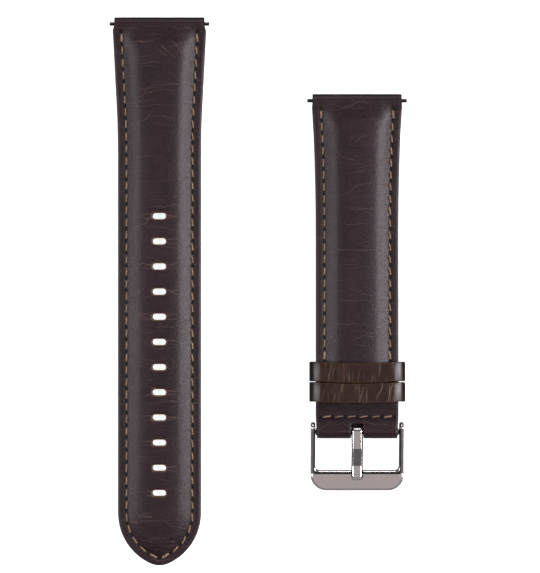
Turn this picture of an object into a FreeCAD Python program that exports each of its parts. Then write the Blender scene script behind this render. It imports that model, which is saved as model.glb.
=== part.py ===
import FreeCAD, Part

import math
import os

import Sketcher
from FreeCAD import Placement, Rotation, Vector

# A two-piece leather watch strap, laid out flat: a long tail with twelve oblong holes and a short
# strap with a pin buckle, a fixed keeper and a free keeper. Each piece hooks onto a watch by a
# quick-release spring bar in the folded nose of its leather.
#
# Row frame: millimetres, +Z up off the table, +Y towards the lug ends, origin at the middle of the
# footprint. Every strap piece is drawn in its strap's own frame, with y = 0 at the lug end and the
# strap running along -Y over z = 0, and is then placed.

DRIVING_DIMENSIONS = {
    # the spring bars and what they hook into
    "lug_gap": 20.0,  # between the two lugs of the watch
    "bar_diameter": 1.5,
    "bar_wall": 0.2,
    "bar_end_gap": 0.25,  # from the end of a bar's tube to the lug
    "crimp_length": 0.3,  # lip that keeps a plunger in its tube
    "pin_diameter": 0.8,
    "pin_reach": 0.9,  # how far a tip stands into its lug
    "pin_neck": 0.02,  # how much thicker a tip is at the root of its tapered neck, on the radius
    "pin_travel": 0.9,
    "running_play": 0.05,  # radial play of bars, pins and plungers
    "plunger_length": 3.4,
    "plug_length": 8.0,  # solid end of a quick-release bar
    "collar_length": 1.2,  # plunger inside the buckle's plain bar
    "spring_wire": 0.14,
    "spring_diameter": 0.8,
    "spring_pitch": 0.6,
    "lever_inset": 1.9,  # lever's place, from the crimp of its tube
    "lever_stem": 0.8,
    "lever_knob": 1.1,
    "lever_knob_length": 0.7,
    "lever_length": 2.3,  # from the bar's axis to the knob's end
    "lever_spigot": 0.5,
    "lever_rest_angle": 65.0,  # leaned back from straight down, so that it lies in its notch
    # leather, common to both straps
    "leather_thickness": 1.0,
    "lining_thickness": 0.8,
    "fold_thickness": 0.7,  # skived leather round a bar
    "fold_run": 6.5,  # from a bar's axis to where its fold has thinned out
    "fold_seam": 3.6,  # where the lining butts against the fold
    "notch_width": 3.2,
    "notch_start": 0.75,
    "notch_end": 4.0,
    "notch_height": 2.1,
    "shoulder_start": 2.3,
    "shoulder_ramp": 0.4,
    "crown_inset": 2.35,
    "crown_slope": 1.6,
    "crown_start": 2.6,
    "pad_inset": 3.1,
    "pad_slope": 1.25,
    "pad_start": 4.3,
    "pad_skin": 0.9,  # leather over the padding
    # the tail
    "tail_length": 120.0,
    "tail_lug_play": 0.15,  # each side, between the nose and the lugs
    "tail_shoulder": 0.4,  # how far the shoulder stands out past the nose, each side
    "tail_mid_flare": 0.35,  # half the width gained over the straight part, where the taper straightens
    "tail_mid_at": 18.0,
    "tail_width": 18.2,
    "tail_taper_end": 30.0,
    "tail_point_length": 11.6,
    "tail_point_radius": 4.0,
    "tail_crown_lug": 1.9,  # crown above the margin at the lug end
    "tail_crown_end": 1.1,
    "hole_count": 12,
    "hole_pitch": 5.5,
    "hole_from_point": 16.0,
    "hole_play": 0.35,  # each side of the tongue
    "hole_height": 1.5,
    "hole_corner": 0.6,
    # the short strap
    "short_length": 75.3,
    "short_lug_play": 0.25,
    "short_shoulder": 0.13,
    "short_mid_flare": 0.45,
    "short_mid_at": 9.0,
    "short_width": 18.1,
    "short_taper_end": 31.0,
    "short_end_narrowing": 0.3,  # each side, towards the fold round the buckle's bar
    "short_end_run": 4.8,
    "short_crown_lug": 1.9,
    "short_crown_end": 1.1,
    "short_crown_from_end": 17.7,
    "tongue_slot_play": 0.25,  # each side of the tongue
    "tongue_slot_reach": 0.45,  # past the tongue's eye
    "tongue_slot_corner": 0.7,
    # stitching
    "stitch_inset": 1.9,
    "stitch_start": 3.3,
    "stitch_pitch": 2.68,
    "stitch_length": 1.8,
    "needle_thread": 0.48,
    "bobbin_thread": 0.3,
    "groove_side_play": 0.1,
    "needle_groove": 0.2,
    "needle_sunk": 0.15,
    "bobbin_groove": 0.34,
    "side_stitch_from_end": 16.8,
    "cross_stitch_from_end": 4.8,
    "cross_stitch_width": 16.0,
    # keepers
    "keeper_band": 4.3,
    "keeper_wall": 1.1,
    "keeper_side_play": 0.3,
    "keeper_under_play": 0.1,
    "keeper_height": 5.0,  # clear height inside
    "keeper_corner": 2.2,
    "keeper_lower_corner": 1.2,
    "keeper_inner_lower_corner": 0.35,
    "keeper_gap": 0.15,  # between the two keepers at rest
    "fixed_keeper_from_end": 10.2,
    "foot_thickness": 0.5,
    "foot_reach": 2.6,
    "seam_slit": 0.1,
    "seam_stitch_length": 2.0,
    "seam_stitch_spacing": 2.0,
    # the buckle
    "frame_side_play": 0.1,  # between the frame's arms and the leather, each side
    "arm_width": 1.0,
    "arm_radius": 1.3,
    "arm_past_bar": 0.8,  # centre of an arm's round end, past the bar's axis
    "window_reach": 8.5,  # from the bar's axis to the front bar
    "front_bar": 4.4,
    "window_corner": 1.0,
    "frame_corner": 3.4,
    "front_top": 0.4,  # below the bar's axis
    "front_bend": 0.7,  # from the window to where the front bar's top turns level
    "frame_softening": 0.45,
    "tongue_width": 2.5,
    "tongue_overlap": 2.0,  # how far its end lies over the front bar
    "tongue_thickness": 1.35,
    "tongue_eye": 1.3,
    "tongue_notch_play": 0.12,
    "tongue_bend_start": 4.8,  # short of the front bar, where the shank turns down
    "tongue_bend_end": 1.0,
    "tongue_rounding": 0.45,
    "tongue_tip_rounding": 0.8,
    # where the two straps lie
    "strap_spacing": 43.2,
    "lug_stagger": 16.8,
}

doc = FreeCAD.newDocument("watch_strap")
sheet = doc.addObject("Spreadsheet::Sheet", "dims")
for row, (alias, number) in enumerate(DRIVING_DIMENSIONS.items(), start=1):
    sheet.set(f"A{row}", alias)
    sheet.set(f"B{row}", str(number))
    sheet.setAlias(f"B{row}", alias)
doc.recompute()

STRAIGHT = None
TURN_LEFT = 1
TURN_RIGHT = -1
ZERO = 1e-9


# ---------------------------------------------------------------- expressions and sketches


def value(expression):
    """What an expression on the sheet's cells comes to, as a plain number."""
    return float(sheet.evalExpression(expression))


def bind(feature, prop, expression):
    feature.setExpression(prop, expression)


def plane_of(body, role):
    return next(f for f in body.Origin.OriginFeatures if f.Role == role)


def new_body(name):
    return doc.addObject("PartDesign::Body", name)


def new_sketch(body, name, role, height="0", tilt="0"):
    """A sketch on one of the body's own planes, raised along the plane's normal and tilted about its x."""
    sketch = body.newObject("Sketcher::SketchObject", name)
    sketch.AttachmentSupport = (plane_of(body, role), "")
    sketch.MapMode = "FlatFace"
    sketch.AttachmentOffset = Placement(Vector(0, 0, 0), Rotation(Vector(1, 0, 0), 0))
    bind(sketch, "AttachmentOffset.Base.z", height)
    if tilt != "0":
        sketch.AttachmentOffset = Placement(Vector(0, 0, 0), Rotation(Vector(1, 0, 0), value(tilt)))
        bind(sketch, "AttachmentOffset.Rotation.Angle", tilt)
    return sketch


def pin_point(sketch, geometry, end, x, y):
    """Ties one end of a line or arc, or a circle's centre, to its coordinates."""
    for kind, expression, axis in (("DistanceX", x, -2), ("DistanceY", y, -1)):
        number = value(expression)
        if abs(number) < ZERO:
            sketch.addConstraint(Sketcher.Constraint("PointOnObject", geometry, end, axis))
        else:
            at = sketch.addConstraint(Sketcher.Constraint(kind, -1, 1, geometry, end, number))
            bind(sketch, f"Constraints[{at}]", expression)


def arc_between(start, end, radius, turn):
    """The arc under half a turn from start to end. FreeCAD keeps every arc anticlockwise."""
    chord = end - start
    rise = math.sqrt(max(radius**2 - (chord.Length / 2) ** 2, 0))
    left = Vector(-chord.y, chord.x, 0).normalize()
    centre = (start + end) / 2 + left * rise * turn
    first, last = (start, end) if turn == TURN_LEFT else (end, start)
    from_angle = math.atan2(first.y - centre.y, first.x - centre.x)
    to_angle = math.atan2(last.y - centre.y, last.x - centre.x)
    return Part.ArcOfCircle(Part.Circle(centre, Vector(0, 0, 1), radius), from_angle, to_angle)


def draw_loop(sketch, corners):
    """A closed loop. A corner is (x, y, run), and run is STRAIGHT or (radius, turn) to the next corner."""
    points = [Vector(value(x), value(y), 0) for x, y, run in corners]
    pieces = []
    for i, (x, y, run) in enumerate(corners):
        start, end = points[i], points[(i + 1) % len(points)]
        if run is STRAIGHT:
            at = sketch.addGeometry(Part.LineSegment(start, end))
            pieces.append((at, 1, 2))
            continue
        radius, turn = run
        at = sketch.addGeometry(arc_between(start, end, value(radius), turn))
        pieces.append((at, 1, 2) if turn == TURN_LEFT else (at, 2, 1))
    for i, (at, first, last) in enumerate(pieces):
        following, its_first, _ = pieces[(i + 1) % len(pieces)]
        sketch.addConstraint(Sketcher.Constraint("Coincident", at, last, following, its_first))
    for (at, first, last), (x, y, run) in zip(pieces, corners):
        pin_point(sketch, at, first, x, y)
        if run is not STRAIGHT:
            number = sketch.addConstraint(Sketcher.Constraint("Radius", at, value(run[0])))
            bind(sketch, f"Constraints[{number}]", run[0])


def draw_circle(sketch, x, y, radius):
    centre = Vector(value(x), value(y), 0)
    at = sketch.addGeometry(Part.Circle(centre, Vector(0, 0, 1), value(radius)))
    pin_point(sketch, at, 3, x, y)
    number = sketch.addConstraint(Sketcher.Constraint("Radius", at, value(radius)))
    bind(sketch, f"Constraints[{number}]", radius)


def polygon(*points):
    return [(x, y, STRAIGHT) for x, y in points]


def rectangle(x0, x1, y0, y1):
    return polygon((x0, y0), (x1, y0), (x1, y1), (x0, y1))


def rounded_rectangle(x0, x1, y0, y1, low, high):
    """Anticlockwise from the lower left, with one radius for the lower corners and one above."""
    return [
        (f"{x0} + {low}", y0, STRAIGHT),
        (f"{x1} - {low}", y0, (low, TURN_LEFT)),
        (x1, f"{y0} + {low}", STRAIGHT),
        (x1, f"{y1} - {high}", (high, TURN_LEFT)),
        (f"{x1} - {high}", y1, STRAIGHT),
        (f"{x0} + {high}", y1, (high, TURN_LEFT)),
        (x0, f"{y1} - {high}", STRAIGHT),
        (x0, f"{y0} + {low}", (low, TURN_LEFT)),
    ]


def backwards(corners):
    """The same open path from its other end."""
    runs = [run for x, y, run in corners]
    turned = [STRAIGHT if run is STRAIGHT else (run[0], -run[1]) for run in runs]
    points = [(x, y) for x, y, run in reversed(corners)]
    return [(x, y, run) for (x, y), run in zip(points, list(reversed(turned[:-1])) + [STRAIGHT])]


def mirrored(corners):
    """The same path on the other side of the strap's middle."""
    return [
        (f"-({x})", y, STRAIGHT if run is STRAIGHT else (run[0], -run[1])) for x, y, run in corners
    ]


def round_trip(corners):
    """A closed loop from a path down one side: back up the other side, mirrored."""
    return corners + backwards(mirrored(corners))


def joined_in_the_middle(right):
    """The same, for a path whose last corner is in the middle and belongs to both sides."""
    return right[:-1] + backwards(mirrored(right))


# ---------------------------------------------------------------- features


def pad(body, sketch, length, symmetric=False, reverse=False):
    feature = body.newObject("PartDesign::Pad", sketch.Name + "_pad")
    feature.Profile = sketch
    feature.SideType = "Symmetric" if symmetric else "One side"
    feature.Reversed = reverse
    bind(feature, "Length", length)
    doc.recompute()
    return feature


def cut(body, sketch, length=None, up=False, symmetric=False):
    """Removes what is over the sketch if up, else what is under it. No length means right through."""
    before = body.Tip.Shape.Volume
    feature = body.newObject("PartDesign::Pocket", sketch.Name + "_cut")
    feature.Profile = sketch
    feature.Reversed = up
    feature.SideType = "Symmetric" if symmetric else "One side"
    if length is None:
        feature.Type = "ThroughAll"
    else:
        bind(feature, "Length", length)
    doc.recompute()
    if not feature.Shape.Volume < before:
        raise RuntimeError(f"{feature.Name} cuts nothing")
    return feature


def loft(body, name, sections):
    feature = body.newObject("PartDesign::AdditiveLoft", name)
    feature.Profile = sections[0]
    feature.Sections = sections[1:]
    feature.Ruled = True
    doc.recompute()
    return feature


def revolve(body, sketch, axis="H_Axis"):
    feature = body.newObject("PartDesign::Revolution", sketch.Name + "_turned")
    feature.Profile = sketch
    feature.ReferenceAxis = (sketch, [axis])
    feature.Angle = 360
    doc.recompute()
    return feature


def soften(body, radius, wanted):
    """Fillets the edges that wanted picks."""
    base = body.Tip
    names = [f"Edge{i}" for i, edge in enumerate(base.Shape.Edges, start=1) if wanted(edge)]
    feature = body.newObject("PartDesign::Fillet", body.Name + "_fillet")
    feature.Base = (base, names)
    bind(feature, "Radius", radius)
    doc.recompute()
    return feature


def hole_row(body):
    """The tail's holes: one pocket and its pattern, through whatever the body is."""
    first = "-(dims.tail_length - dims.hole_from_point)"
    half_width, half_height = f"{HOLE_WIDTH} / 2", "dims.hole_height / 2"
    sketch = new_sketch(body, body.Name + "_hole", "XY_Plane")
    draw_loop(
        sketch,
        rounded_rectangle(
            f"-{half_width}",
            half_width,
            f"{first} - {half_height}",
            f"{first} + {half_height}",
            "dims.hole_corner",
            "dims.hole_corner",
        ),
    )
    before = body.Tip.Shape.Volume
    pocket = cut(body, sketch, up=True)
    one_hole = before - pocket.Shape.Volume
    pattern = body.newObject("PartDesign::LinearPattern", body.Name + "_holes")
    pattern.Originals = [pocket]
    pattern.Direction = (sketch, ["V_Axis"])
    bind(pattern, "Length", "dims.hole_pitch * (dims.hole_count - 1)")
    bind(pattern, "Occurrences", "dims.hole_count")
    body.Tip = pattern
    doc.recompute()
    if before - pattern.Shape.Volume < one_hole * (value("dims.hole_count") - 1):
        raise RuntimeError(f"{body.Name} is missing holes")


# ---------------------------------------------------------------- where things are

LUG_WIDTH = {
    "tail": "(dims.lug_gap - 2 * dims.tail_lug_play)",
    "short": "(dims.lug_gap - 2 * dims.short_lug_play)",
}
SHOULDER_WIDTH = {
    "tail": f"({LUG_WIDTH['tail']} + 2 * dims.tail_shoulder)",
    "short": f"({LUG_WIDTH['short']} + 2 * dims.short_shoulder)",
}
MID_WIDTH = {
    "tail": "(dims.tail_width + 2 * dims.tail_mid_flare)",
    "short": "(dims.short_width + 2 * dims.short_mid_flare)",
}
HOLE_WIDTH = "(dims.tongue_width + 2 * dims.hole_play)"
TONGUE_REACH = "(dims.window_reach + dims.tongue_overlap)"
FRAME_REACH = "(dims.window_reach + dims.front_bar)"
SIDE_STITCH_END = "(dims.short_length - dims.side_stitch_from_end)"
CROSS_STITCH_AT = "(dims.short_length - dims.cross_stitch_from_end)"
CROWN_END = "(dims.short_length - dims.short_crown_from_end)"
FIXED_KEEPER_AT = "(dims.short_length - dims.fixed_keeper_from_end)"
FOLD_RADIUS = "(dims.bar_diameter / 2 + dims.running_play + dims.fold_thickness)"
MARGIN = "(dims.lining_thickness + dims.leather_thickness)"
BUCKLE_BAR_AT = f"(dims.short_length - {FOLD_RADIUS})"
FREE_KEEPER_AT = f"({FIXED_KEEPER_AT} - dims.keeper_band - dims.keeper_gap)"
KEEPER_DROP = "(dims.keeper_under_play + dims.keeper_wall)"

# The short strap lies with its lug end on the table and its free keeper under it, so it leans a little.
KEEPER_EDGE = f"({FREE_KEEPER_AT} - dims.keeper_band / 2 - {FOLD_RADIUS})"
LEAN = f"atan({KEEPER_DROP} / {KEEPER_EDGE})"
BAR_RUN = f"({BUCKLE_BAR_AT} - {FOLD_RADIUS})"
BUCKLE_BAR_HEIGHT = f"({BAR_RUN} * sin({LEAN}) + {FOLD_RADIUS} * cos({LEAN}))"

half_spacing = value("dims.strap_spacing / 2")
tail_top = value("dims.tail_length / 2")
tail_frame = Placement(Vector(-half_spacing, tail_top, 0), Rotation())
lug_contact = Vector(0, -value(FOLD_RADIUS), 0)
short_top = tail_top - value("dims.lug_stagger")
short_frame = (
    Placement(Vector(half_spacing, short_top, 0) + lug_contact, Rotation())
    * Placement(Vector(), Rotation(Vector(1, 0, 0), -value(LEAN)))
    * Placement(-lug_contact, Rotation())
)
buckle_axis = short_frame.multVec(Vector(0, -value(BUCKLE_BAR_AT), value(FOLD_RADIUS)))
buckle_frame_place = Placement(buckle_axis, Rotation())


def lug_bar_place(strap_frame):
    """The quick-release bar's own frame: x along the bar, and the lever along its -z."""
    swung = Rotation(Vector(1, 0, 0), -value("dims.lever_rest_angle"))
    at_axis = Vector(0, -value(FOLD_RADIUS), value(FOLD_RADIUS))
    return strap_frame * Placement(at_axis, swung)


# ---------------------------------------------------------------- the straps' outlines


def edge_width(strap, at):
    """The strap's width between the shoulder and the point where the taper starts to curve."""
    shoulder = "(dims.shoulder_start + dims.shoulder_ramp)"
    share = f"(({at} - {shoulder}) / (dims.{strap}_mid_at - {shoulder}))"
    wide, narrow = SHOULDER_WIDTH[strap], MID_WIDTH[strap]
    return f"({wide} - ({wide} - {narrow}) * {share})"


def taper_radius(strap, inset):
    run = f"(dims.{strap}_taper_end - dims.{strap}_mid_at)"
    flare = f"dims.{strap}_mid_flare"
    return f"(({run} ^ 2 + {flare} ^ 2) / (2 * {flare}) + {inset})"


def long_side(strap, inset, start):
    """The right-hand edge from start to the end of the taper, drawn in by inset."""
    return [
        (f"{edge_width(strap, start)} / 2 - {inset}", f"-({start})", STRAIGHT),
        (
            f"{MID_WIDTH[strap]} / 2 - {inset}",
            f"-dims.{strap}_mid_at",
            (taper_radius(strap, inset), TURN_LEFT),
        ),
        (f"dims.{strap}_width / 2 - {inset}", f"-dims.{strap}_taper_end", STRAIGHT),
    ]


def nose_corners(strap):
    """The narrow nose between the lugs, and its shoulder."""
    width = f"{LUG_WIDTH[strap]} / 2"
    return [(width, "0", STRAIGHT), (width, "-dims.shoulder_start", STRAIGHT)]


def tail_side(inset, start):
    """The right-hand half of the tail's edge, drawn in by inset, ending in the middle of the point."""
    half = f"(dims.tail_width / 2 - {inset})"
    length = f"(dims.tail_length - {inset})"
    run = f"(dims.tail_point_length - {inset})"
    nose = f"max(dims.tail_point_radius - {inset}; 0.3)"
    flank = f"(({half} ^ 2 + ({run} - {nose}) ^ 2 - {nose} ^ 2) / (2 * {half} - 2 * {nose}))"
    share = f"({flank} / ({flank} - {nose}))"
    root = f"-({length} - {run})"
    meet_x = f"-({half} - {flank}) * {nose} / ({flank} - {nose})"
    meet_y = f"{root} - ({run} - {nose}) * {share}"
    return long_side("tail", inset, start) + [
        (half, root, (flank, TURN_RIGHT)),
        (meet_x, meet_y, (nose, TURN_RIGHT)),
        ("0", f"-{length}", (nose, TURN_RIGHT)),
    ]


def tail_loop(inset, start):
    """Down the right edge, round the point and up the left edge."""
    return joined_in_the_middle(tail_side(inset, start))


def short_side(inset, start, end):
    return long_side("short", inset, start) + [
        (f"dims.short_width / 2 - {inset}", f"-({end})", STRAIGHT)
    ]


def groove(outer, inner):
    return outer + backwards(inner)


SLOPE_RISE = f"(2 * {FOLD_RADIUS} - {MARGIN})"
SLOPE_TILT = f"atan({SLOPE_RISE} / dims.fold_run)"
SLOPE_END = f"({FOLD_RADIUS} + dims.fold_run)"


def slope_quad(strap, outer, inner, start):
    """The part of a stitch groove that climbs the slope onto a nose, drawn on the slope's own plane."""
    corners = []
    for inset, at in ((outer, start), (outer, SLOPE_END), (inner, SLOPE_END), (inner, start)):
        x = f"({edge_width(strap, at)} / 2 - {inset})"
        corners.append((x, f"-({at}) / cos({SLOPE_TILT})"))
    return polygon(*corners)


def slope_grooves(body, strap):
    outer, inner = groove_insets("needle")
    height = f"(2 * {FOLD_RADIUS} + {FOLD_RADIUS} * {SLOPE_RISE} / dims.fold_run)"
    sketch = new_sketch(body, body.Name + "_slope_grooves", "XY_Plane", height, SLOPE_TILT)
    quad = slope_quad(strap, outer, inner, "dims.stitch_start")
    draw_loop(sketch, quad)
    draw_loop(sketch, mirrored(quad))
    cut(body, sketch, "dims.needle_groove")


# ---------------------------------------------------------------- leather


def fold_corners(at, towards_lug):
    """Round the outside of a fold in side view: from under it, round the end and onto the slope on top."""
    sign = "" if towards_lug else "-"
    turn = TURN_LEFT if towards_lug else TURN_RIGHT
    end = f"-({at}) {'+' if towards_lug else '-'} {FOLD_RADIUS}"
    corners = [
        (f"-({at})", "0", (FOLD_RADIUS, turn)),
        (end, FOLD_RADIUS, (FOLD_RADIUS, turn)),
        (f"-({at})", f"2 * {FOLD_RADIUS}", STRAIGHT),
    ]
    slope_end = f"-({at}) {'-' if towards_lug else '+'} dims.fold_run"
    return corners + [(slope_end, MARGIN, STRAIGHT)]


def tail_leather_side():
    lug = fold_corners(FOLD_RADIUS, True)
    seam = "-dims.fold_seam"
    return lug + polygon(
        ("-dims.tail_length", MARGIN),
        ("-dims.tail_length", "dims.lining_thickness"),
        (seam, "dims.lining_thickness"),
        (seam, "0"),
    )


def short_leather_side():
    lug = fold_corners(FOLD_RADIUS, True)
    buckle = backwards(fold_corners(BUCKLE_BAR_AT, False))
    far_seam = "-(dims.short_length - dims.fold_seam)"
    return (
        lug
        + buckle
        + polygon(
            (far_seam, "0"),
            (far_seam, "dims.lining_thickness"),
            ("-dims.fold_seam", "dims.lining_thickness"),
            ("-dims.fold_seam", "0"),
        )
    )


def widest(strap):
    return f"max({SHOULDER_WIDTH[strap]}; {MID_WIDTH[strap]})"


def trim_to(body, strap, outline):
    """Cuts away everything outside the plan outline."""
    sketch = new_sketch(body, body.Name + "_outline", "XY_Plane")
    reach = f"({widest(strap)} / 2 + 2)"
    far = f"-(dims.{strap}_length + 2)"
    draw_loop(sketch, rectangle(f"-{reach}", reach, far, "2"))
    draw_loop(sketch, outline)
    cut(body, sketch, up=True)


def crown(body, name, outlines, low, high, tilt):
    """A soft-sided rise between two outlines, the upper one on a plane that falls towards the far end."""
    foot = new_sketch(body, name + "_foot", "XY_Plane", height=low)
    draw_loop(foot, outlines[0])
    top = new_sketch(body, name + "_top", "XY_Plane", height=high, tilt=tilt)
    draw_loop(top, outlines[1])
    return loft(body, name, [foot, top])


def crown_tilt(strap):
    return f"atan((dims.{strap}_crown_lug - dims.{strap}_crown_end) / dims.{strap}_length)"


def lever_notch(body):
    """The window under a nose through which a fingernail reaches the lever."""
    middle = LEVER_AT
    sketch = new_sketch(body, body.Name + "_notch", "XY_Plane")
    draw_loop(
        sketch,
        rectangle(
            f"{middle} - dims.notch_width / 2",
            f"{middle} + dims.notch_width / 2",
            "-dims.notch_end",
            "-dims.notch_start",
        ),
    )
    cut(body, sketch, "dims.notch_height", up=True)


TUBE_END = "(dims.lug_gap / 2 - dims.bar_end_gap)"
CRIMP = f"({TUBE_END} - dims.crimp_length)"
LEVER_REST = f"({CRIMP} - dims.lever_inset)"
LEVER_AT = f"({LEVER_REST} - dims.pin_travel / 2)"


def groove_insets(thread):
    half = f"(dims.{thread}_thread / 2 + dims.groove_side_play)"
    return f"(dims.stitch_inset - {half})", f"(dims.stitch_inset + {half})"


def tail_groove(body, thread, height, up):
    outer, inner = groove_insets(thread)
    start = "dims.stitch_start"
    sketch = new_sketch(body, body.Name + "_groove", "XY_Plane", height=height)
    draw_loop(sketch, groove(tail_loop(outer, start), tail_loop(inner, start)))
    cut(body, sketch, f"dims.{thread}_groove", up=up)


def short_grooves(body, thread, height, up):
    outer, inner = groove_insets(thread)
    start, end = "dims.stitch_start", SIDE_STITCH_END
    sketch = new_sketch(body, body.Name + "_grooves", "XY_Plane", height=height)
    loop = groove(short_side(outer, start, end), short_side(inner, start, end))
    draw_loop(sketch, loop)
    draw_loop(sketch, mirrored(loop))
    cut(body, sketch, f"dims.{thread}_groove", up=up)


def cross_groove(body):
    """The channel under the lining for the row of stitches across the short strap."""
    half = "(dims.cross_stitch_width / 2)"
    depth = "(dims.bobbin_thread / 2 + dims.groove_side_play)"
    sketch = new_sketch(body, body.Name + "_cross_groove", "XY_Plane")
    middle = f"-{CROSS_STITCH_AT}"
    draw_loop(sketch, rectangle(f"-{half}", half, f"{middle} - {depth}", f"{middle} + {depth}"))
    cut(body, sketch, "dims.bobbin_groove", up=True)


def cross_slope_groove(body):
    """The same row's groove on top, where the leather slopes up to the buckle's fold."""
    half = "(dims.cross_stitch_width / 2)"
    depth = "(dims.needle_thread / 2 + dims.groove_side_play)"
    height = f"(2 * {FOLD_RADIUS} - {BUCKLE_BAR_AT} * {SLOPE_RISE} / dims.fold_run)"
    sketch = new_sketch(body, body.Name + "_cross_groove", "XY_Plane", height, f"-{SLOPE_TILT}")
    along = f"({CROSS_STITCH_AT} / cos({SLOPE_TILT}))"
    draw_loop(sketch, rectangle(f"-{half}", half, f"-{along} - {depth}", f"-{along} + {depth}"))
    cut(body, sketch, "dims.needle_groove")


def leather_minus_padding(label, leather, padding):
    whole = doc.addObject("Part::Cut", label)
    whole.Base = leather
    whole.Tool = padding
    doc.recompute()
    return whole


def pad_height(strap):
    return f"({MARGIN} + dims.{strap}_crown_lug - dims.pad_skin)"


def tail_padding():
    body = new_body("tail_padding")
    inner = "(dims.pad_inset + dims.pad_slope)"
    outlines = [
        tail_loop("dims.pad_inset", "dims.pad_start"),
        tail_loop(inner, "(dims.pad_start + dims.pad_slope)"),
    ]
    crown(body, "tail_pad", outlines, "dims.lining_thickness", pad_height("tail"), crown_tilt("tail"))
    hole_row(body)
    body.Placement = tail_frame
    return body


def tail_leather(padding):
    body = new_body("tail_leather_blank")
    side = new_sketch(body, "tail_leather_side", "YZ_Plane")
    draw_loop(side, tail_leather_side())
    draw_circle(side, f"-{FOLD_RADIUS}", FOLD_RADIUS, "dims.bar_diameter / 2 + dims.running_play")
    pad(body, side, f"{widest('tail')} + 1", symmetric=True)
    shoulder = "(dims.shoulder_start + dims.shoulder_ramp)"
    edge = nose_corners("tail") + tail_side("0", shoulder)
    trim_to(body, "tail", joined_in_the_middle(edge))
    inner = "(dims.crown_inset + dims.crown_slope)"
    outlines = [
        tail_loop("dims.crown_inset", "dims.crown_start"),
        tail_loop(inner, "(dims.crown_start + dims.crown_slope)"),
    ]
    top = f"({MARGIN} + dims.tail_crown_lug)"
    crown(body, "tail_crown", outlines, MARGIN, top, crown_tilt("tail"))
    tail_groove(body, "needle", MARGIN, up=False)
    slope_grooves(body, "tail")
    lever_notch(body)
    hole_row(body)
    body.Placement = tail_frame
    return leather_minus_padding("tail_top_leather", body, padding)


def tail_lining():
    body = new_body("tail_lining")
    sketch = new_sketch(body, "tail_lining_outline", "XY_Plane")
    draw_loop(sketch, tail_loop("0", "dims.fold_seam"))
    pad(body, sketch, "dims.lining_thickness")
    tail_groove(body, "bobbin", "0", up=True)
    lever_notch(body)
    hole_row(body)
    body.Placement = tail_frame
    return body


def short_padding():
    body = new_body("short_padding")
    inset, slope = "dims.pad_inset", "dims.pad_slope"
    end = f"({CROWN_END} - (dims.pad_inset - dims.crown_inset))"
    inner = f"({inset} + {slope})"
    outlines = [
        round_trip(short_side(inset, "dims.pad_start", end)),
        round_trip(short_side(inner, f"(dims.pad_start + {slope})", f"({end} - {slope})")),
    ]
    height = pad_height("short")
    crown(body, "short_pad", outlines, "dims.lining_thickness", height, crown_tilt("short"))
    body.Placement = short_frame
    return body


def short_leather(padding):
    body = new_body("short_leather_blank")
    side = new_sketch(body, "short_leather_side", "YZ_Plane")
    draw_loop(side, short_leather_side())
    bore = "dims.bar_diameter / 2 + dims.running_play"
    draw_circle(side, f"-{FOLD_RADIUS}", FOLD_RADIUS, bore)
    draw_circle(side, f"-{BUCKLE_BAR_AT}", FOLD_RADIUS, bore)
    pad(body, side, f"{widest('short')} + 1", symmetric=True)
    shoulder = "(dims.shoulder_start + dims.shoulder_ramp)"
    edge = nose_corners("short") + short_side("0", shoulder, "dims.short_length - dims.short_end_run")
    edge.append(("dims.short_width / 2 - dims.short_end_narrowing", "-dims.short_length", STRAIGHT))
    trim_to(body, "short", round_trip(edge))
    slope = "dims.crown_slope"
    inner = f"(dims.crown_inset + {slope})"
    end = CROWN_END
    outlines = [
        round_trip(short_side("dims.crown_inset", "dims.crown_start", end)),
        round_trip(short_side(inner, f"(dims.crown_start + {slope})", f"({end} - {slope})")),
    ]
    top = f"({MARGIN} + dims.short_crown_lug)"
    crown(body, "short_crown", outlines, MARGIN, top, crown_tilt("short"))
    short_grooves(body, "needle", MARGIN, up=False)
    slope_grooves(body, "short")
    cross_slope_groove(body)
    lever_notch(body)
    keeper_foot_recess(body)
    tongue_slot(body)
    body.Placement = short_frame
    return leather_minus_padding("short_top_leather", body, padding)


def keeper_foot_recess(body):
    """Where the fixed keeper's skived feet are glued in between the leather and the lining."""
    sketch = new_sketch(body, body.Name + "_feet", "XY_Plane", height="dims.lining_thickness")
    low = f"-({FIXED_KEEPER_AT} + dims.keeper_band / 2)"
    high = f"-({FIXED_KEEPER_AT} - dims.keeper_band / 2)"
    outer = "dims.short_width"
    inner = "(dims.short_width / 2 - dims.foot_reach)"
    draw_loop(sketch, rectangle(inner, outer, low, high))
    draw_loop(sketch, rectangle(f"-{outer}", f"-{inner}", low, high))
    cut(body, sketch, "dims.foot_thickness", up=True)


def tongue_slot(body):
    """Through the fold over the buckle's bar, open at the strap's end."""
    half, corner = "(dims.tongue_width / 2 + dims.tongue_slot_play)", "dims.tongue_slot_corner"
    top = f"-({BUCKLE_BAR_AT} - dims.tongue_eye - dims.tongue_slot_reach)"
    bottom = "-(dims.short_length + 1)"
    sketch = new_sketch(body, body.Name + "_tongue_slot", "XY_Plane")
    draw_loop(
        sketch,
        [
            (f"-{half}", bottom, STRAIGHT),
            (half, bottom, STRAIGHT),
            (half, f"{top} - {corner}", (corner, TURN_LEFT)),
            (f"{half} - {corner}", top, STRAIGHT),
            (f"-({half} - {corner})", top, (corner, TURN_LEFT)),
            (f"-{half}", f"{top} - {corner}", STRAIGHT),
        ],
    )
    cut(body, sketch, up=True)


def short_lining():
    body = new_body("short_lining")
    sketch = new_sketch(body, "short_lining_outline", "XY_Plane")
    end = "(dims.short_length - dims.fold_seam)"
    draw_loop(sketch, round_trip(short_side("0", "dims.fold_seam", end)))
    pad(body, sketch, "dims.lining_thickness")
    short_grooves(body, "bobbin", "0", up=True)
    cross_groove(body)
    lever_notch(body)
    body.Placement = short_frame
    return body


# ---------------------------------------------------------------- thread


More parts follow.
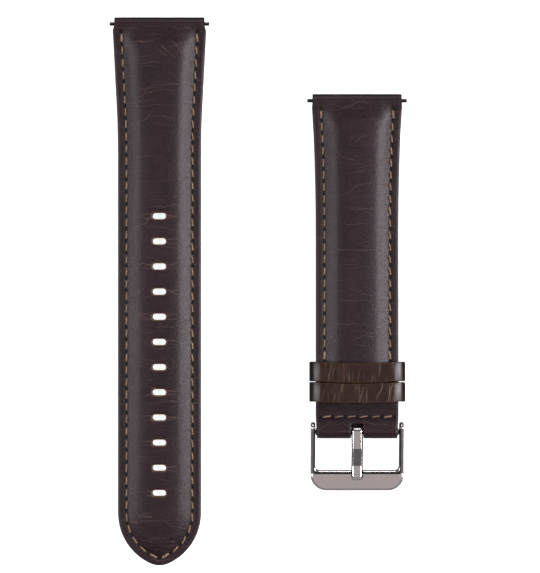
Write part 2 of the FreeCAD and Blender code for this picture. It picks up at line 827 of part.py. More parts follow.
def stitch_shape(diameter, length):
    """One visible stitch: a short length of thread along x with rounded ends."""
    radius = diameter / 2
    straight = length - diameter
    rod = Part.makeCylinder(radius, straight, Vector(-straight / 2, 0, 0), Vector(1, 0, 0))
    for end in (-straight / 2, straight / 2):
        rod = rod.fuse(Part.makeSphere(radius, Vector(end, 0, 0)))
    return rod.removeSplitter()


def seam_path(corners):
    """The wire that a row of stitches follows, from the corners of an open path."""
    points = [Vector(value(x), value(y), 0) for x, y, run in corners]
    edges = []
    for i, (x, y, run) in enumerate(corners[:-1]):
        start, end = points[i], points[i + 1]
        if run is STRAIGHT:
            edges.append(Part.LineSegment(start, end).toShape())
        else:
            edges.append(arc_between(start, end, value(run[0]), run[1]).toShape())
    return Part.Wire(Part.__sortEdges__(edges))


def on_top(point):
    """The point carried up to the top face of the margin, with the slopes up to the folds."""
    radius, run = value(FOLD_RADIUS), value("dims.fold_run")
    share = 1 - (-point.y - radius) / run
    if point.y < -value("dims.short_length / 2"):
        share = 1 - (value(BUCKLE_BAR_AT) + point.y) / run
    return Vector(point.x, point.y, value(MARGIN) + value(SLOPE_RISE) * min(max(share, 0), 1))


def underneath(point):
    return Vector(point.x, point.y, 0)


def stitches_along(path, diameter, surface, height):
    """Stitches at an even pitch along a path over a surface, each turned to follow it."""
    length = value("dims.stitch_length")
    pieces = round(path.Length / value("dims.stitch_pitch"))
    steps = 12
    reach = round(steps * length / 2 / (path.Length / pieces))
    marks = path.discretize(Number=steps * pieces + 1)
    stitch = stitch_shape(diameter, length)
    made = []
    for middle in range(steps // 2, len(marks), steps):
        before, after = surface(marks[middle - reach]), surface(marks[middle + reach])
        centre = (before + surface(marks[middle]) * 2 + after) / 4
        copy = stitch.copy()
        copy.Placement = Placement(
            centre + Vector(0, 0, height), Rotation(Vector(1, 0, 0), after - before)
        )
        made.append(copy)
    return made


def thread_node(label, stitches, frame):
    feature = doc.addObject("Part::Feature", label)
    feature.Shape = Part.makeCompound(stitches)
    feature.Placement = frame
    return feature


def needle_stitches(path):
    sunk = value("dims.needle_thread / 2 - dims.needle_sunk")
    return stitches_along(path, value("dims.needle_thread"), on_top, sunk)


def bobbin_stitches(path):
    sunk = value("dims.bobbin_groove - dims.bobbin_thread / 2")
    return stitches_along(path, value("dims.bobbin_thread"), underneath, sunk)


def tail_threads():
    path = seam_path(tail_loop("dims.stitch_inset", "dims.stitch_start"))
    top, under = needle_stitches(path), bobbin_stitches(path)
    return [
        thread_node("tail_needle_thread", top, tail_frame),
        thread_node("tail_bobbin_thread", under, tail_frame),
    ]


def cross_path():
    half = value("dims.cross_stitch_width / 2")
    at = -value(CROSS_STITCH_AT)
    return Part.Wire([Part.LineSegment(Vector(-half, at, 0), Vector(half, at, 0)).toShape()])


def short_threads():
    right = short_side("dims.stitch_inset", "dims.stitch_start", SIDE_STITCH_END)
    top, under = [], []
    for path in (seam_path(right), seam_path(mirrored(right)), cross_path()):
        top += needle_stitches(path)
        under += bobbin_stitches(path)
    return [
        thread_node("short_needle_thread", top, short_frame),
        thread_node("short_bobbin_thread", under, short_frame),
    ]


# ---------------------------------------------------------------- keepers

KEEPER_HALF = "(dims.short_width / 2 + dims.keeper_side_play)"
KEEPER_OUTER = f"({KEEPER_HALF} + dims.keeper_wall)"
KEEPER_CEILING = "(dims.keeper_height - dims.keeper_under_play)"
KEEPER_TOP = f"({KEEPER_CEILING} + dims.keeper_wall)"


def keeper_inner_corner():
    return "max(dims.keeper_corner - dims.keeper_wall; 0.2)"


def free_keeper():
    """A strip bent into a ring round the strap, butted together underneath."""
    body = new_body("free_keeper")
    middle = f"({FREE_KEEPER_AT})"
    ring = new_sketch(body, "free_keeper_ring", "XZ_Plane", height=middle)
    draw_loop(
        ring,
        rounded_rectangle(
            f"-{KEEPER_OUTER}",
            KEEPER_OUTER,
            f"-{KEEPER_DROP}",
            KEEPER_TOP,
            "dims.keeper_lower_corner",
            "dims.keeper_corner",
        ),
    )
    draw_loop(
        ring,
        rounded_rectangle(
            f"-{KEEPER_HALF}",
            KEEPER_HALF,
            "-dims.keeper_under_play",
            KEEPER_CEILING,
            "dims.keeper_inner_lower_corner",
            keeper_inner_corner(),
        ),
    )
    pad(body, ring, "dims.keeper_band", symmetric=True)
    slit = new_sketch(body, "free_keeper_slit", "XZ_Plane", height=middle)
    half = "dims.seam_slit / 2"
    draw_loop(slit, rectangle(f"-{half}", half, f"-({KEEPER_DROP} + 1)", "0"))
    cut(body, slit, "2 * dims.keeper_band", symmetric=True)
    recess = new_sketch(body, "free_keeper_recess", "XY_Plane", height=f"-{KEEPER_DROP}")
    reach = "(dims.seam_stitch_length / 2 + dims.groove_side_play)"
    thick = "(dims.bobbin_thread / 2 + dims.groove_side_play)"
    for side in ("-", "+"):
        at = f"(-{middle} {side} dims.seam_stitch_spacing / 2)"
        draw_loop(recess, rectangle(f"-{reach}", reach, f"{at} - {thick}", f"{at} + {thick}"))
    cut(body, recess, "dims.bobbin_groove", up=True)
    body.Placement = short_frame
    return body


def free_keeper_thread():
    """Two stitches that hold the ring's ends together, sunk into its underside."""
    stitch = stitch_shape(value("dims.bobbin_thread"), value("dims.seam_stitch_length"))
    height = value(f"-{KEEPER_DROP} + dims.bobbin_groove - dims.bobbin_thread / 2")
    made = []
    for side in (-0.5, 0.5):
        copy = stitch.copy()
        along = -value(FREE_KEEPER_AT) + side * value("dims.seam_stitch_spacing")
        copy.Placement = Placement(Vector(0, along, height), Rotation())
        made.append(copy)
    return thread_node("free_keeper_thread", made, short_frame)


def fixed_keeper():
    """An arch over the strap whose thinned feet turn in between the leather and the lining."""
    body = new_body("fixed_keeper")
    sketch = new_sketch(body, "fixed_keeper_arch", "XZ_Plane", height=FIXED_KEEPER_AT)
    foot = "dims.lining_thickness"
    sill = "(dims.lining_thickness + dims.foot_thickness)"
    toe = "(dims.short_width / 2 - dims.foot_reach)"
    outer, inner = "dims.keeper_corner", keeper_inner_corner()
    outside = [
        (toe, foot, STRAIGHT),
        (KEEPER_OUTER, foot, STRAIGHT),
        (KEEPER_OUTER, f"{KEEPER_TOP} - {outer}", (outer, TURN_LEFT)),
        (f"{KEEPER_OUTER} - {outer}", KEEPER_TOP, STRAIGHT),
    ]
    inside = [
        (f"{KEEPER_HALF} - {inner}", KEEPER_CEILING, (inner, TURN_RIGHT)),
        (KEEPER_HALF, f"{KEEPER_CEILING} - {inner}", STRAIGHT),
        (KEEPER_HALF, sill, STRAIGHT),
        (toe, sill, STRAIGHT),
    ]
    draw_loop(sketch, round_trip(outside) + backwards(mirrored(inside)) + inside)
    pad(body, sketch, "dims.keeper_band", symmetric=True)
    body.Placement = short_frame
    return body


# ---------------------------------------------------------------- spring bars


TIP_CHAMFER = "(dims.pin_diameter / 6)"


def bar_tube(label, half_length, place, slotted):
    """A tube with a crimped lip at each end, and a slot for the lever if it has one."""
    body = new_body(label)
    sketch = new_sketch(body, label + "_section", "XY_Plane")
    outer = "dims.bar_diameter / 2"
    inner = "(dims.bar_diameter / 2 - dims.bar_wall)"
    lip = "(dims.pin_diameter / 2 + dims.running_play)"
    end, crimp = half_length, f"({half_length} - dims.crimp_length)"
    draw_loop(
        sketch,
        polygon(
            (f"-{end}", lip),
            (f"-{crimp}", lip),
            (f"-{crimp}", inner),
            (crimp, inner),
            (crimp, lip),
            (end, lip),
            (end, outer),
            (f"-{end}", outer),
        ),
    )
    revolve(body, sketch)
    if slotted:
        slot = new_sketch(body, label + "_slot", "XY_Plane")
        half = "(dims.lever_stem / 2 + dims.running_play)"
        inward = f"({LEVER_REST} - dims.pin_travel - {half})"
        outward = f"({LEVER_REST} + {half})"
        draw_loop(slot, rectangle(inward, outward, f"-{half}", half))
        cut(body, slot, "dims.bar_diameter")
    body.Placement = place
    return body


def turned_pin(label, inner, shoulder, reach, thick, side, place):
    """A thick end inside the tube and a thin chamfered tip that reaches out of it."""
    body = new_body(label)
    sketch = new_sketch(body, label + "_section", "XY_Plane")
    tip = "dims.pin_diameter / 2"
    neck, root = f"{tip} + dims.pin_neck", f"({reach} - dims.pin_reach)"
    corners = [
        (inner, "0"),
        (reach, "0"),
        (reach, f"{tip} - {TIP_CHAMFER}"),
        (f"({reach} - {TIP_CHAMFER})", tip),
        (root, tip),
        (shoulder, neck),
        (shoulder, thick),
        (inner, thick),
    ]
    if side < 0:
        corners = [(f"-({x})", y) for x, y in corners]
    draw_loop(sketch, polygon(*corners))
    revolve(body, sketch)
    body.Placement = place
    return body


def plunger(label, side, crimp, length, end_gap, place):
    """A sprung tip. side is 1 at the +x end of its tube and -1 at the other."""
    piston = "(dims.bar_diameter / 2 - dims.bar_wall - dims.running_play / 2)"
    reach = f"({crimp} + dims.crimp_length + {end_gap} + dims.pin_reach)"
    return turned_pin(label, f"({crimp} - {length})", crimp, reach, piston, side, place)


def lever_hole(body):
    """Where the release lever is pinned into its plunger."""
    hole = new_sketch(body, body.Name + "_lever_hole", "XY_Plane")
    draw_circle(hole, LEVER_REST, "0", "dims.lever_spigot / 2")
    cut(body, hole, "dims.bar_diameter")
    return body


def end_plug(label, place):
    """The solid end of a quick-release bar, pressed into the tube up to its crimp."""
    plug = "(dims.bar_diameter / 2 - dims.bar_wall)"
    reach = f"({TUBE_END} + dims.bar_end_gap + dims.pin_reach)"
    return turned_pin(label, f"({CRIMP} - dims.plug_length)", CRIMP, reach, plug, -1, place)


def coil_spring(label, low, high, place):
    """A coil along x from low to high, in its bar's own frame."""
    wire, mean = value("dims.spring_wire"), value("dims.spring_diameter")
    length = value(f"{high} - {low}") - wire
    turns = max(round(length / value("dims.spring_pitch")), 2)
    helix = Part.makeHelix(length / turns, length, mean / 2)
    section = Part.Wire(Part.makeCircle(wire / 2, Vector(mean / 2, 0, 0), Vector(0, 1, 0)))
    coil = Part.Wire(helix).makePipeShell([section], True, True)
    feature = doc.addObject("Part::Feature", label)
    feature.Shape = coil
    along_x = Placement(Vector(value(low) + wire / 2, 0, 0), Rotation(Vector(0, 1, 0), 90))
    feature.Placement = place * along_x
    return feature


def release_lever(label, place):
    """The knob that draws the plunger in: a stem through the tube's slot with a head outside it."""
    at = value(LEVER_REST)
    parts = []
    for name, diameter, top, bottom in (
        ("spigot", "dims.lever_spigot", "0", "-(dims.bar_diameter / 2 - dims.bar_wall)"),
        (
            "stem",
            "dims.lever_stem",
            "-(dims.bar_diameter / 2 - dims.bar_wall)",
            "-(dims.lever_length - dims.lever_knob_length)",
        ),
        (
            "knob",
            "dims.lever_knob",
            "-(dims.lever_length - dims.lever_knob_length)",
            "-dims.lever_length",
        ),
    ):
        piece = doc.addObject("Part::Cylinder", f"{label}_{name}")
        bind(piece, "Radius", f"{diameter} / 2")
        bind(piece, "Height", f"({top}) - ({bottom})")
        piece.Placement = Placement(Vector(at, 0, value(bottom)), Rotation())
        parts.append(piece)
    lever = doc.addObject("Part::MultiFuse", label)
    lever.Shapes = parts
    lever.Placement = place
    doc.recompute()
    return lever


def quick_release_bar(strap, place):
    """Tube, solid end, spring, plunger and its lever."""
    low = f"(dims.plug_length - {CRIMP})"
    high = f"({CRIMP} - dims.plunger_length)"
    return [
        bar_tube(f"{strap}_bar_tube", TUBE_END, place, slotted=True),
        end_plug(f"{strap}_bar_fixed_tip", place),
        lever_hole(
            plunger(
                f"{strap}_bar_plunger", 1, CRIMP, "dims.plunger_length", "dims.bar_end_gap", place
            )
        ),
        coil_spring(f"{strap}_bar_spring", low, high, place),
        release_lever(f"{strap}_release_lever", place),
    ]


FRAME_HALF = "(dims.short_width / 2 + dims.frame_side_play)"


def buckle_bar():
    """The plain sprung bar that the frame and the tongue turn on."""
    half = f"({FRAME_HALF} - dims.frame_side_play)"
    crimp = f"({half} - dims.crimp_length)"
    collar = "dims.collar_length"
    inner = f"({crimp} - {collar})"
    gap = "dims.frame_side_play"
    place = buckle_frame_place
    return [
        bar_tube("buckle_bar_tube", half, place, slotted=False),
        plunger("buckle_bar_left_tip", -1, crimp, collar, gap, place),
        plunger("buckle_bar_right_tip", 1, crimp, collar, gap, place),
        coil_spring("buckle_bar_spring", f"-{inner}", inner, place),
    ]


# ---------------------------------------------------------------- the buckle

def buckle_frame():
    """Two arms and a broad front bar, with a notch for the tongue's end."""
    body = new_body("buckle_frame")
    top, drop = "-dims.front_top", BUCKLE_BAR_HEIGHT
    radius, past = "dims.arm_radius", "dims.arm_past_bar"
    front, bend = f"-{FRAME_REACH}", "-(dims.window_reach + dims.front_bend)"
    side = new_sketch(body, "frame_side", "YZ_Plane")
    draw_loop(
        side,
        [
            (past, f"-{radius}", (radius, TURN_LEFT)),
            (f"{past} + {radius}", "0", (radius, TURN_LEFT)),
            (past, radius, STRAIGHT),
            (bend, top, STRAIGHT),
            (front, top, STRAIGHT),
            (front, f"-{drop}", STRAIGHT),
            ("-(dims.window_reach - dims.window_corner * 1.5)", f"-{drop}", STRAIGHT),
        ],
    )
    pad(body, side, f"2 * ({FRAME_HALF} + dims.arm_width)", symmetric=True)
    rear = f"({past} + {radius} + 1)"
    half = f"({FRAME_HALF} + dims.arm_width)"
    outline = new_sketch(body, "frame_outline", "XY_Plane", height=f"-{drop} - 1")
    draw_loop(outline, rectangle(f"-({half} + 2)", f"{half} + 2", f"{front} - 2", f"{rear} + 1"))
    draw_loop(outline, u_shape(half, front, rear, "dims.frame_corner"))
    cut(body, outline, up=True)
    window = new_sketch(body, "frame_window", "XY_Plane", height=f"-{drop} - 1")
    draw_loop(window, u_shape(FRAME_HALF, "-dims.window_reach", rear, "dims.window_corner"))
    cut(body, window, up=True)
    soften(body, "min(dims.frame_softening; 0.45 * dims.arm_width)", is_frame_edge)
    frame_notch(body)
    holes = new_sketch(body, "frame_bar_holes", "YZ_Plane")
    draw_circle(holes, "0", "0", "dims.pin_diameter / 2 + dims.running_play")
    cut(body, holes, f"2 * ({half} + 1)", symmetric=True)
    body.Placement = buckle_frame_place
    return body


def u_shape(half, front, rear, corner):
    """A rectangle in plan with its two front corners rounded."""
    return [
        (f"-{half} + {corner}", front, STRAIGHT),
        (f"{half} - {corner}", front, (corner, TURN_LEFT)),
        (half, f"{front} + {corner}", STRAIGHT),
        (half, rear, STRAIGHT),
        (f"-{half}", rear, STRAIGHT),
        (f"-{half}", f"{front} + {corner}", (corner, TURN_LEFT)),
    ]


def is_frame_edge(edge):
    """An edge of the frame's rim, and not a seam or bend that runs across it."""
    box = edge.BoundBox
    upright = max(box.XLength, box.YLength) < 0.01
    along_bar = max(box.YLength, box.ZLength) < 0.01
    faces = (-value("dims.window_reach"), -value(FRAME_REACH))
    at_a_face = any(abs(box.YMin - face) < 0.01 for face in faces)
    return not upright and (at_a_face or not along_bar)


def frame_notch(body):
    """The place in the front bar that the tongue's end drops into."""
    wide = "(dims.tongue_width / 2 + dims.tongue_notch_play)"
    tip = f"({TONGUE_REACH} + dims.tongue_notch_play)"
    turn = "(dims.tongue_tip_rounding + dims.tongue_notch_play)"
    notch = new_sketch(body, "frame_notch", "XY_Plane", height="2")
    draw_loop(notch, u_shape(wide, f"-{tip}", "0", turn))
    cut(body, notch, f"2 + {TONGUE_UNDER}")


TONGUE_UNDER = "(dims.front_top + dims.tongue_thickness + dims.running_play)"


def tongue():
    """An eye on the bar and a shank that comes to rest in the frame's notch, flush with its top."""
    body = new_body("buckle_tongue")
    side = new_sketch(body, "tongue_side", "YZ_Plane")
    eye, reach = "dims.tongue_eye", TONGUE_REACH
    top, under = "-dims.front_top", "-(dims.front_top + dims.tongue_thickness)"
    start = "(dims.window_reach - dims.tongue_bend_start)"
    end = "(dims.window_reach - dims.tongue_bend_end)"
    shank_top = f"({eye} - 0.15)"
    draw_loop(
        side,
        [
            ("0", f"-{eye}", (eye, TURN_LEFT)),
            (eye, "0", (eye, TURN_LEFT)),
            ("0", eye, STRAIGHT),
            (f"-{start}", shank_top, STRAIGHT),
            (f"-{end}", top, STRAIGHT),
            (f"-{reach}", top, STRAIGHT),
            (f"-{reach}", under, STRAIGHT),
            (f"-({end} + 0.25)", under, STRAIGHT),
            (f"-({start} + 0.25)", f"{shank_top} - dims.tongue_thickness", STRAIGHT),
            (f"-{eye} * 0.9", f"-{eye} * 0.436", STRAIGHT),
        ],
    )
    draw_circle(side, "0", "0", "dims.bar_diameter / 2 + dims.running_play")
    pad(body, side, "dims.tongue_width", symmetric=True)
    soften(body, "dims.tongue_tip_rounding", is_tongue_tip)
    soften(body, "min(dims.tongue_rounding; 0.4 * dims.tongue_thickness)", is_tongue_side)
    body.Placement = buckle_frame_place
    return body


def is_tongue_tip(edge):
    box = edge.BoundBox
    upright = box.ZLength > ZERO and max(box.XLength, box.YLength) < ZERO
    return upright and box.YMax < -value("dims.window_reach")


def is_tongue_side(edge):
    """An edge along the top or bottom of the tongue's two sides, and not the bore's rim."""
    box = edge.BoundBox
    bore = value("dims.bar_diameter / 2 + dims.running_play")
    upright = box.ZLength > ZERO and max(box.XLength, box.YLength) < ZERO
    rim = abs(box.YLength - 2 * bore) < 0.01 and abs(box.ZLength - 2 * bore) < 0.01
    across = box.XLength > value("dims.tongue_width") - 0.01 and box.YLength < ZERO
    return not (upright or rim or across)


# ---------------------------------------------------------------- build and write


def check(document):
    for thing in document.Objects:
        if "Invalid" in thing.State or "Error" in thing.State:
            raise RuntimeError(f"{thing.Name} failed: {thing.State}")


def build():
    tail_pad, short_pad = tail_padding(), short_padding()
    tail_bar, short_bar = lug_bar_place(tail_frame), lug_bar_place(short_frame)
    nodes = [tail_leather(tail_pad), tail_lining(), tail_pad, *tail_threads()]
    nodes += [short_leather(short_pad), short_lining(), short_pad, *short_threads()]
    nodes += [fixed_keeper(), free_keeper(), free_keeper_thread()]
    nodes += quick_release_bar("tail", tail_bar) + quick_release_bar("short", short_bar)
    nodes += [buckle_frame(), tongue(), *buckle_bar()]
    doc.recompute()
    check(doc)
    return nodes


def write(nodes):
    os.makedirs("parts", exist_ok=True)
    for node in nodes:
        shape = node.Shape
        if shape.isNull() or not shape.isValid() or not shape.Solids:
            raise RuntimeError(f"{node.Label} has no valid solid")
        shape.exportStep(f"parts/{node.Label}.step")


write(build())
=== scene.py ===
import math

import bpy
import numpy as np
from mathutils import Matrix, Vector


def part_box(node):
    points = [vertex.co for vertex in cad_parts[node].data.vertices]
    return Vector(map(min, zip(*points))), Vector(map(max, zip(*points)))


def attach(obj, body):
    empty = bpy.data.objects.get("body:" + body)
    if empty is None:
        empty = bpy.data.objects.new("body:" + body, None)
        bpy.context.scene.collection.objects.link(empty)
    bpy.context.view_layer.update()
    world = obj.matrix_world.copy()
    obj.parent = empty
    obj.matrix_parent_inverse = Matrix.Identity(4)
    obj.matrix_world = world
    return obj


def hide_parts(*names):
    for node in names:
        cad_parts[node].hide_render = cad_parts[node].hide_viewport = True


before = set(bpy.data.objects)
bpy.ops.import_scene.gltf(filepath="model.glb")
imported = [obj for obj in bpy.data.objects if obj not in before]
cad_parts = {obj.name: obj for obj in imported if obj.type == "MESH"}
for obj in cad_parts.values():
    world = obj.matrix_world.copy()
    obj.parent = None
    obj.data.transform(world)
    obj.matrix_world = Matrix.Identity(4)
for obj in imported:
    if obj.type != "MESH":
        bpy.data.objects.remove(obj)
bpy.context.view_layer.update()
mm = 0.001

# Sizes are in millimetres, but in metres for the camera, floor and lights. A strap is shaped in its
# own frame, with s running from its lug end to its far end, and is then laid where its node lies.


def say(stage):
    print("stage:", stage)


def middleOf(node):
    low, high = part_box(node)
    return (low + high) / 2


# camera, floor and light

view = {
    "height": 0.75,
    "lens": 228.3,
    "sensor": 36,
    "near": 0.01,
    "offset": (0.00257, 0.00112),
    "floor": 3.0,
    "floorDrop": 0.05 * mm,
    "floorGlow": 0.86,
}


def paleFloor():
    bpy.ops.object.select_all(action="DESELECT")
    # a little under the linings, which lie on the ground
    place = (0, 0, -view["floorDrop"])
    bpy.ops.mesh.primitive_plane_add(size=2 * view["floor"], location=place)
    floor = bpy.context.object
    floor.name = "floor"
    floor.visible_glossy = floor.visible_diffuse = False
    return floor


def lookDown():
    x, y = view["offset"]
    bpy.ops.object.camera_add(location=(x, y, view["height"]), rotation=(0, 0, 0))
    camera = bpy.context.object
    camera.data.sensor_fit = "HORIZONTAL"
    camera.data.sensor_width = view["sensor"]
    camera.data.lens = view["lens"]
    camera.data.clip_start = view["near"]
    bpy.context.scene.camera = camera


lights = {
    "left": {"towards": (-0.79, -0.02, 0.61), "away": 0.75, "size": (0.20, 0.9), "power": 3.3},
    "right": {"towards": (0.80, 0.02, 0.60), "away": 0.75, "size": (0.20, 0.9), "power": 6.7},
    "far": {"towards": (0.05, 0.86, 0.50), "away": 0.8, "size": (0.6, 0.25), "power": 1.3},
}

lampGlow = {"tint": (1.0, 0.95, 1.0, 1.0), "fullLength": 0.6, "gain": 1.9}


def softLight(name, towards, away, size, power):
    place = Vector(towards).normalized() * away
    bpy.ops.object.light_add(type="AREA", location=place)
    light = bpy.context.object
    light.name = "softbox_" + name
    light.rotation_euler = place.to_track_quat("Z", "Y").to_euler()
    light.data.shape = "RECTANGLE"
    light.data.size, light.data.size_y = size
    light.data.energy = power
    light.visible_camera = False
    # brightest in the middle, fading out towards its edges
    board = Board(light.data)
    across, along, rest = board.split(board.node("NewGeometry", output="Parametric"))
    glow = (across * (1 - across) * 4).between(0, 1)
    glow = glow * (along * (1 - along) * 4).between(0, lampGlow["fullLength"])
    sockets = {"Color": lampGlow["tint"], "Strength": glow * lampGlow["gain"]}
    board.ended("OutputLight", board.node("Emission", None, sockets))


# shaders


def arithmetic(operation, turned=False):
    def made(wire, other=0.0):
        first, second = (other, wire) if turned else (wire, other)
        return wire.board.node("Math", {"operation": operation}, {0: first, 1: second})

    return made


class Wire:
    # a socket that sums, products and the like can be written with

    def __init__(self, board, socket):
        self.board = board
        self.socket = socket

    __add__, __radd__ = arithmetic("ADD"), arithmetic("ADD", turned=True)
    __sub__, __rsub__ = arithmetic("SUBTRACT"), arithmetic("SUBTRACT", turned=True)
    __mul__, __rmul__ = arithmetic("MULTIPLY"), arithmetic("MULTIPLY", turned=True)
    __truediv__, __pow__ = arithmetic("DIVIDE"), arithmetic("POWER")
    __abs__ = arithmetic("ABSOLUTE")
    least, most = arithmetic("MINIMUM"), arithmetic("MAXIMUM")
    floor, fraction, sine = arithmetic("FLOOR"), arithmetic("FRACT"), arithmetic("SINE")

    def between(self, low, high):
        # 0 up to low, 1 from high, smooth in the middle; low may be the larger
        settings = {"interpolation_type": "SMOOTHSTEP"}
        if low < high:
            rising = {"Value": self, "From Min": low, "From Max": high}
            return self.board.node("MapRange", settings, rising)
        falling = {"Value": self, "From Min": high, "From Max": low, "To Min": 1.0, "To Max": 0.0}
        return self.board.node("MapRange", settings, falling)


class Board:
    # the nodes of a material, a light or the world under construction

    def __init__(self, owner):
        owner.use_nodes = True
        self.owner = owner
        self.tree = owner.node_tree
        self.tree.nodes.clear()

    def node(self, kind, settings=None, sockets=None, output=0):
        made = self.tree.nodes.new("ShaderNode" + kind)
        for key, setting in (settings or {}).items():
            if key == "stops":
                self.setStops(made.color_ramp, setting)
            else:
                setattr(made, key, setting)
        for key, given in (sockets or {}).items():
            if isinstance(given, Wire):
                self.tree.links.new(given.socket, made.inputs[key])
            else:
                made.inputs[key].default_value = given
        return Wire(self, made.outputs[output])

    def setStops(self, ramp, stops):
        while len(ramp.elements) < len(stops):
            ramp.elements.new(0.5)
        for element, (place, colour) in zip(ramp.elements, stops):
            element.position = place
            element.color = colour

    def point(self):
        # the place on the object in millimetres
        place = self.node("TexCoord", output="Object")
        return self.node("VectorMath", {"operation": "SCALE"}, {0: place, "Scale": 1000.0})

    def split(self, vector):
        # the three numbers of a vector
        parts = self.node("SeparateXYZ", None, {0: vector})
        return [Wire(self, socket) for socket in parts.socket.node.outputs]

    def together(self, x, y, z=0.0):
        return self.node("CombineXYZ", None, {0: x, 1: y, 2: z})

    def stretched(self, point, scale, turn=0.0):
        sockets = {"Vector": point, "Rotation": (0, 0, turn), "Scale": scale}
        return self.node("Mapping", None, sockets)

    def reading(self, name):
        return self.node("Attribute", {"attribute_name": name}, output="Fac")

    def chance(self, number):
        # the same random share each time for a number
        return self.node("TexWhiteNoise", {"noise_dimensions": "1D"}, {"W": number}, output="Value")

    def noise(self, point, scale, detail=3.0, roughness=0.55):
        sockets = {"Vector": point, "Scale": scale, "Detail": detail, "Roughness": roughness}
        return self.node("TexNoise", None, sockets)

    def cells(self, point, scale, feature="F1"):
        sockets = {"Vector": point, "Scale": scale}
        return self.node("TexVoronoi", {"feature": feature}, sockets, output="Distance")

    def mixed(self, share, first, second):
        settings = {"data_type": "RGBA"}
        return self.node("Mix", settings, {0: share, 6: first, 7: second}, output=2)

    def bump(self, height, strength, distance):
        sockets = {"Height": height, "Strength": strength, "Distance": distance * mm}
        return self.node("Bump", None, sockets, output="Normal")

    def ended(self, kind, shader):
        ending = self.tree.nodes.new("ShaderNode" + kind)
        self.tree.links.new(shader.socket, ending.inputs["Surface"])
        return self.owner

    def surface(self, colour, roughness, more):
        sockets = {"Base Color": colour, "Roughness": roughness, **more}
        return self.ended("OutputMaterial", self.node("BsdfPrincipled", None, sockets))


def newFinish(name):
    return Board(bpy.data.materials.new(name))


def rgb(red, green, blue):
    # a linear colour from its 0 to 255 screen values
    def linear(screen):
        share = screen / 255
        return share / 12.92 if share < 0.04045 else ((share + 0.055) / 1.055) ** 2.4

    return linear(red), linear(green), linear(blue), 1.0


floor = paleFloor()
lookDown()
for name, setting in lights.items():
    softLight(name, **setting)
bpy.context.scene.view_settings.view_transform = "Standard"
say("camera, floor and lights")


# making and shaping pieces


def focus(piece):
    bpy.ops.object.select_all(action="DESELECT")
    piece.select_set(True)
    bpy.context.view_layer.objects.active = piece


def gridPiece(name, rows, columns, place, **readings):
    # a grid with one point for each row and column, each moved to where place says
    bpy.ops.object.select_all(action="DESELECT")
    across, down = len(columns) - 1, len(rows) - 1
    bpy.ops.mesh.primitive_grid_add(x_subdivisions=across, y_subdivisions=down, size=2)
    piece = bpy.context.object
    piece.name = piece.data.name = name
    spots = []
    for vertex in piece.data.vertices:
        column = columns[round((vertex.co.x + 1) / 2 * across)]
        row = rows[round((vertex.co.y + 1) / 2 * down)]
        vertex.co = Vector(place(row, column)) * mm
        spots.append((row, column))
    for label, reading in readings.items():
        made = piece.data.attributes.new(label, "FLOAT", "POINT")
        made.data.foreach_set("value", [float(reading(row, column)) for row, column in spots])
    return piece


def inEditMode(piece, *steps):
    focus(piece)
    bpy.ops.object.mode_set(mode="EDIT")
    bpy.ops.mesh.select_mode(type="FACE")
    for step in steps:
        step()
    bpy.ops.object.mode_set(mode="OBJECT")


def onAll(piece, step):
    inEditMode(piece, lambda: bpy.ops.mesh.select_all(action="SELECT"), step)


def mergeDoubles(piece):
    onAll(piece, lambda: bpy.ops.mesh.remove_doubles(threshold=0.002 * mm))


def turnConsistent(piece):
    onAll(piece, lambda: bpy.ops.mesh.normals_make_consistent(inside=False))


def cutAway(piece, wanted):
    inEditMode(piece, lambda: bpy.ops.mesh.select_all(action="DESELECT"))
    for face in piece.data.polygons:
        face.select = wanted(face.center / mm)
    inEditMode(piece, lambda: bpy.ops.mesh.delete(type="FACE"))


def turnOutwards(piece, outward):
    # outward tells from a face's centre and normal whether it is right way out; most faces decide
    right = [outward(face.center / mm, face.normal) for face in piece.data.polygons]
    if sum(right) < len(right) / 2:
        onAll(piece, lambda: bpy.ops.mesh.flip_normals())


def applied(piece, kind, **settings):
    focus(piece)
    step = piece.modifiers.new(kind.lower(), kind)
    for key, setting in settings.items():
        setattr(step, key, setting)
    bpy.ops.object.modifier_apply(modifier=step.name)


def weigh(piece, reading):
    # a vertex group from a reading, for what a modifier does by weight
    group = piece.vertex_groups.new(name=reading)
    for i, item in enumerate(piece.data.attributes[reading].data):
        group.add([i], item.value, "REPLACE")


def smooth(piece, angle=35):
    focus(piece)
    bpy.ops.object.shade_smooth_by_angle(angle=math.radians(angle))


def lay(piece, place, body, finish, slot, *replaced):
    piece.data.transform(place)
    piece.data.materials.clear()
    piece.data.materials.append(finish)
    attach(piece, body)
    if replaced:
        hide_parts(*replaced)
    return piece


# the two straps' shapes

fold = {
    "radius": 1.5,
    "run": 6.5,
    "seam": 3.6,
    "bore": 0.7,
    "shoulderStart": 2.3,
    "shoulderEnd": 2.7,
    # distance from the end and thickness of the wall, underneath and on top
    "under": [(3.6, 1.3), (3.48, 1.3), (3.0, 1.3), (2.5, 1.0), (2.0, 0.75), (1.5, 0.7)],
    "over": [(1.5, 0.7), (2.0, 0.75), (2.5, 1.0), (2.9, 1.25), (3.3, 1.3)],
}

section = {
    "margin": 1.8,
    "lining": 0.8,
    "thickest": 1.3,
    "crownLug": 1.9,
    "crownFar": 1.1,
    "crownInset": 2.35,
    "crownSlope": 8.0,
    "crownStart": 1.5,
    "crownRise": 5.0,
    "crownBlend": 20,
    "crownEase": 1.15,
    "crownFullness": 2.6,
    "crownFuller": 1.9,
    "crownEndSlope": 2.2,
    "padInset": 3.1,
    "padUnder": 0.95,
    "padStart": 4.3,
    "padEndGap": 1.6,
    "padGap": 0.02,
    "stitchInset": 1.9,
    "grooveDepth": 0.16,
    "grooveWidth": 0.3,
    "stitchStart": 3.3,
    "edgeRound": 0.5,
    "edgeFall": 0.22,
    "edgePower": 1.8,
    "edgeStart": 1.2,
}

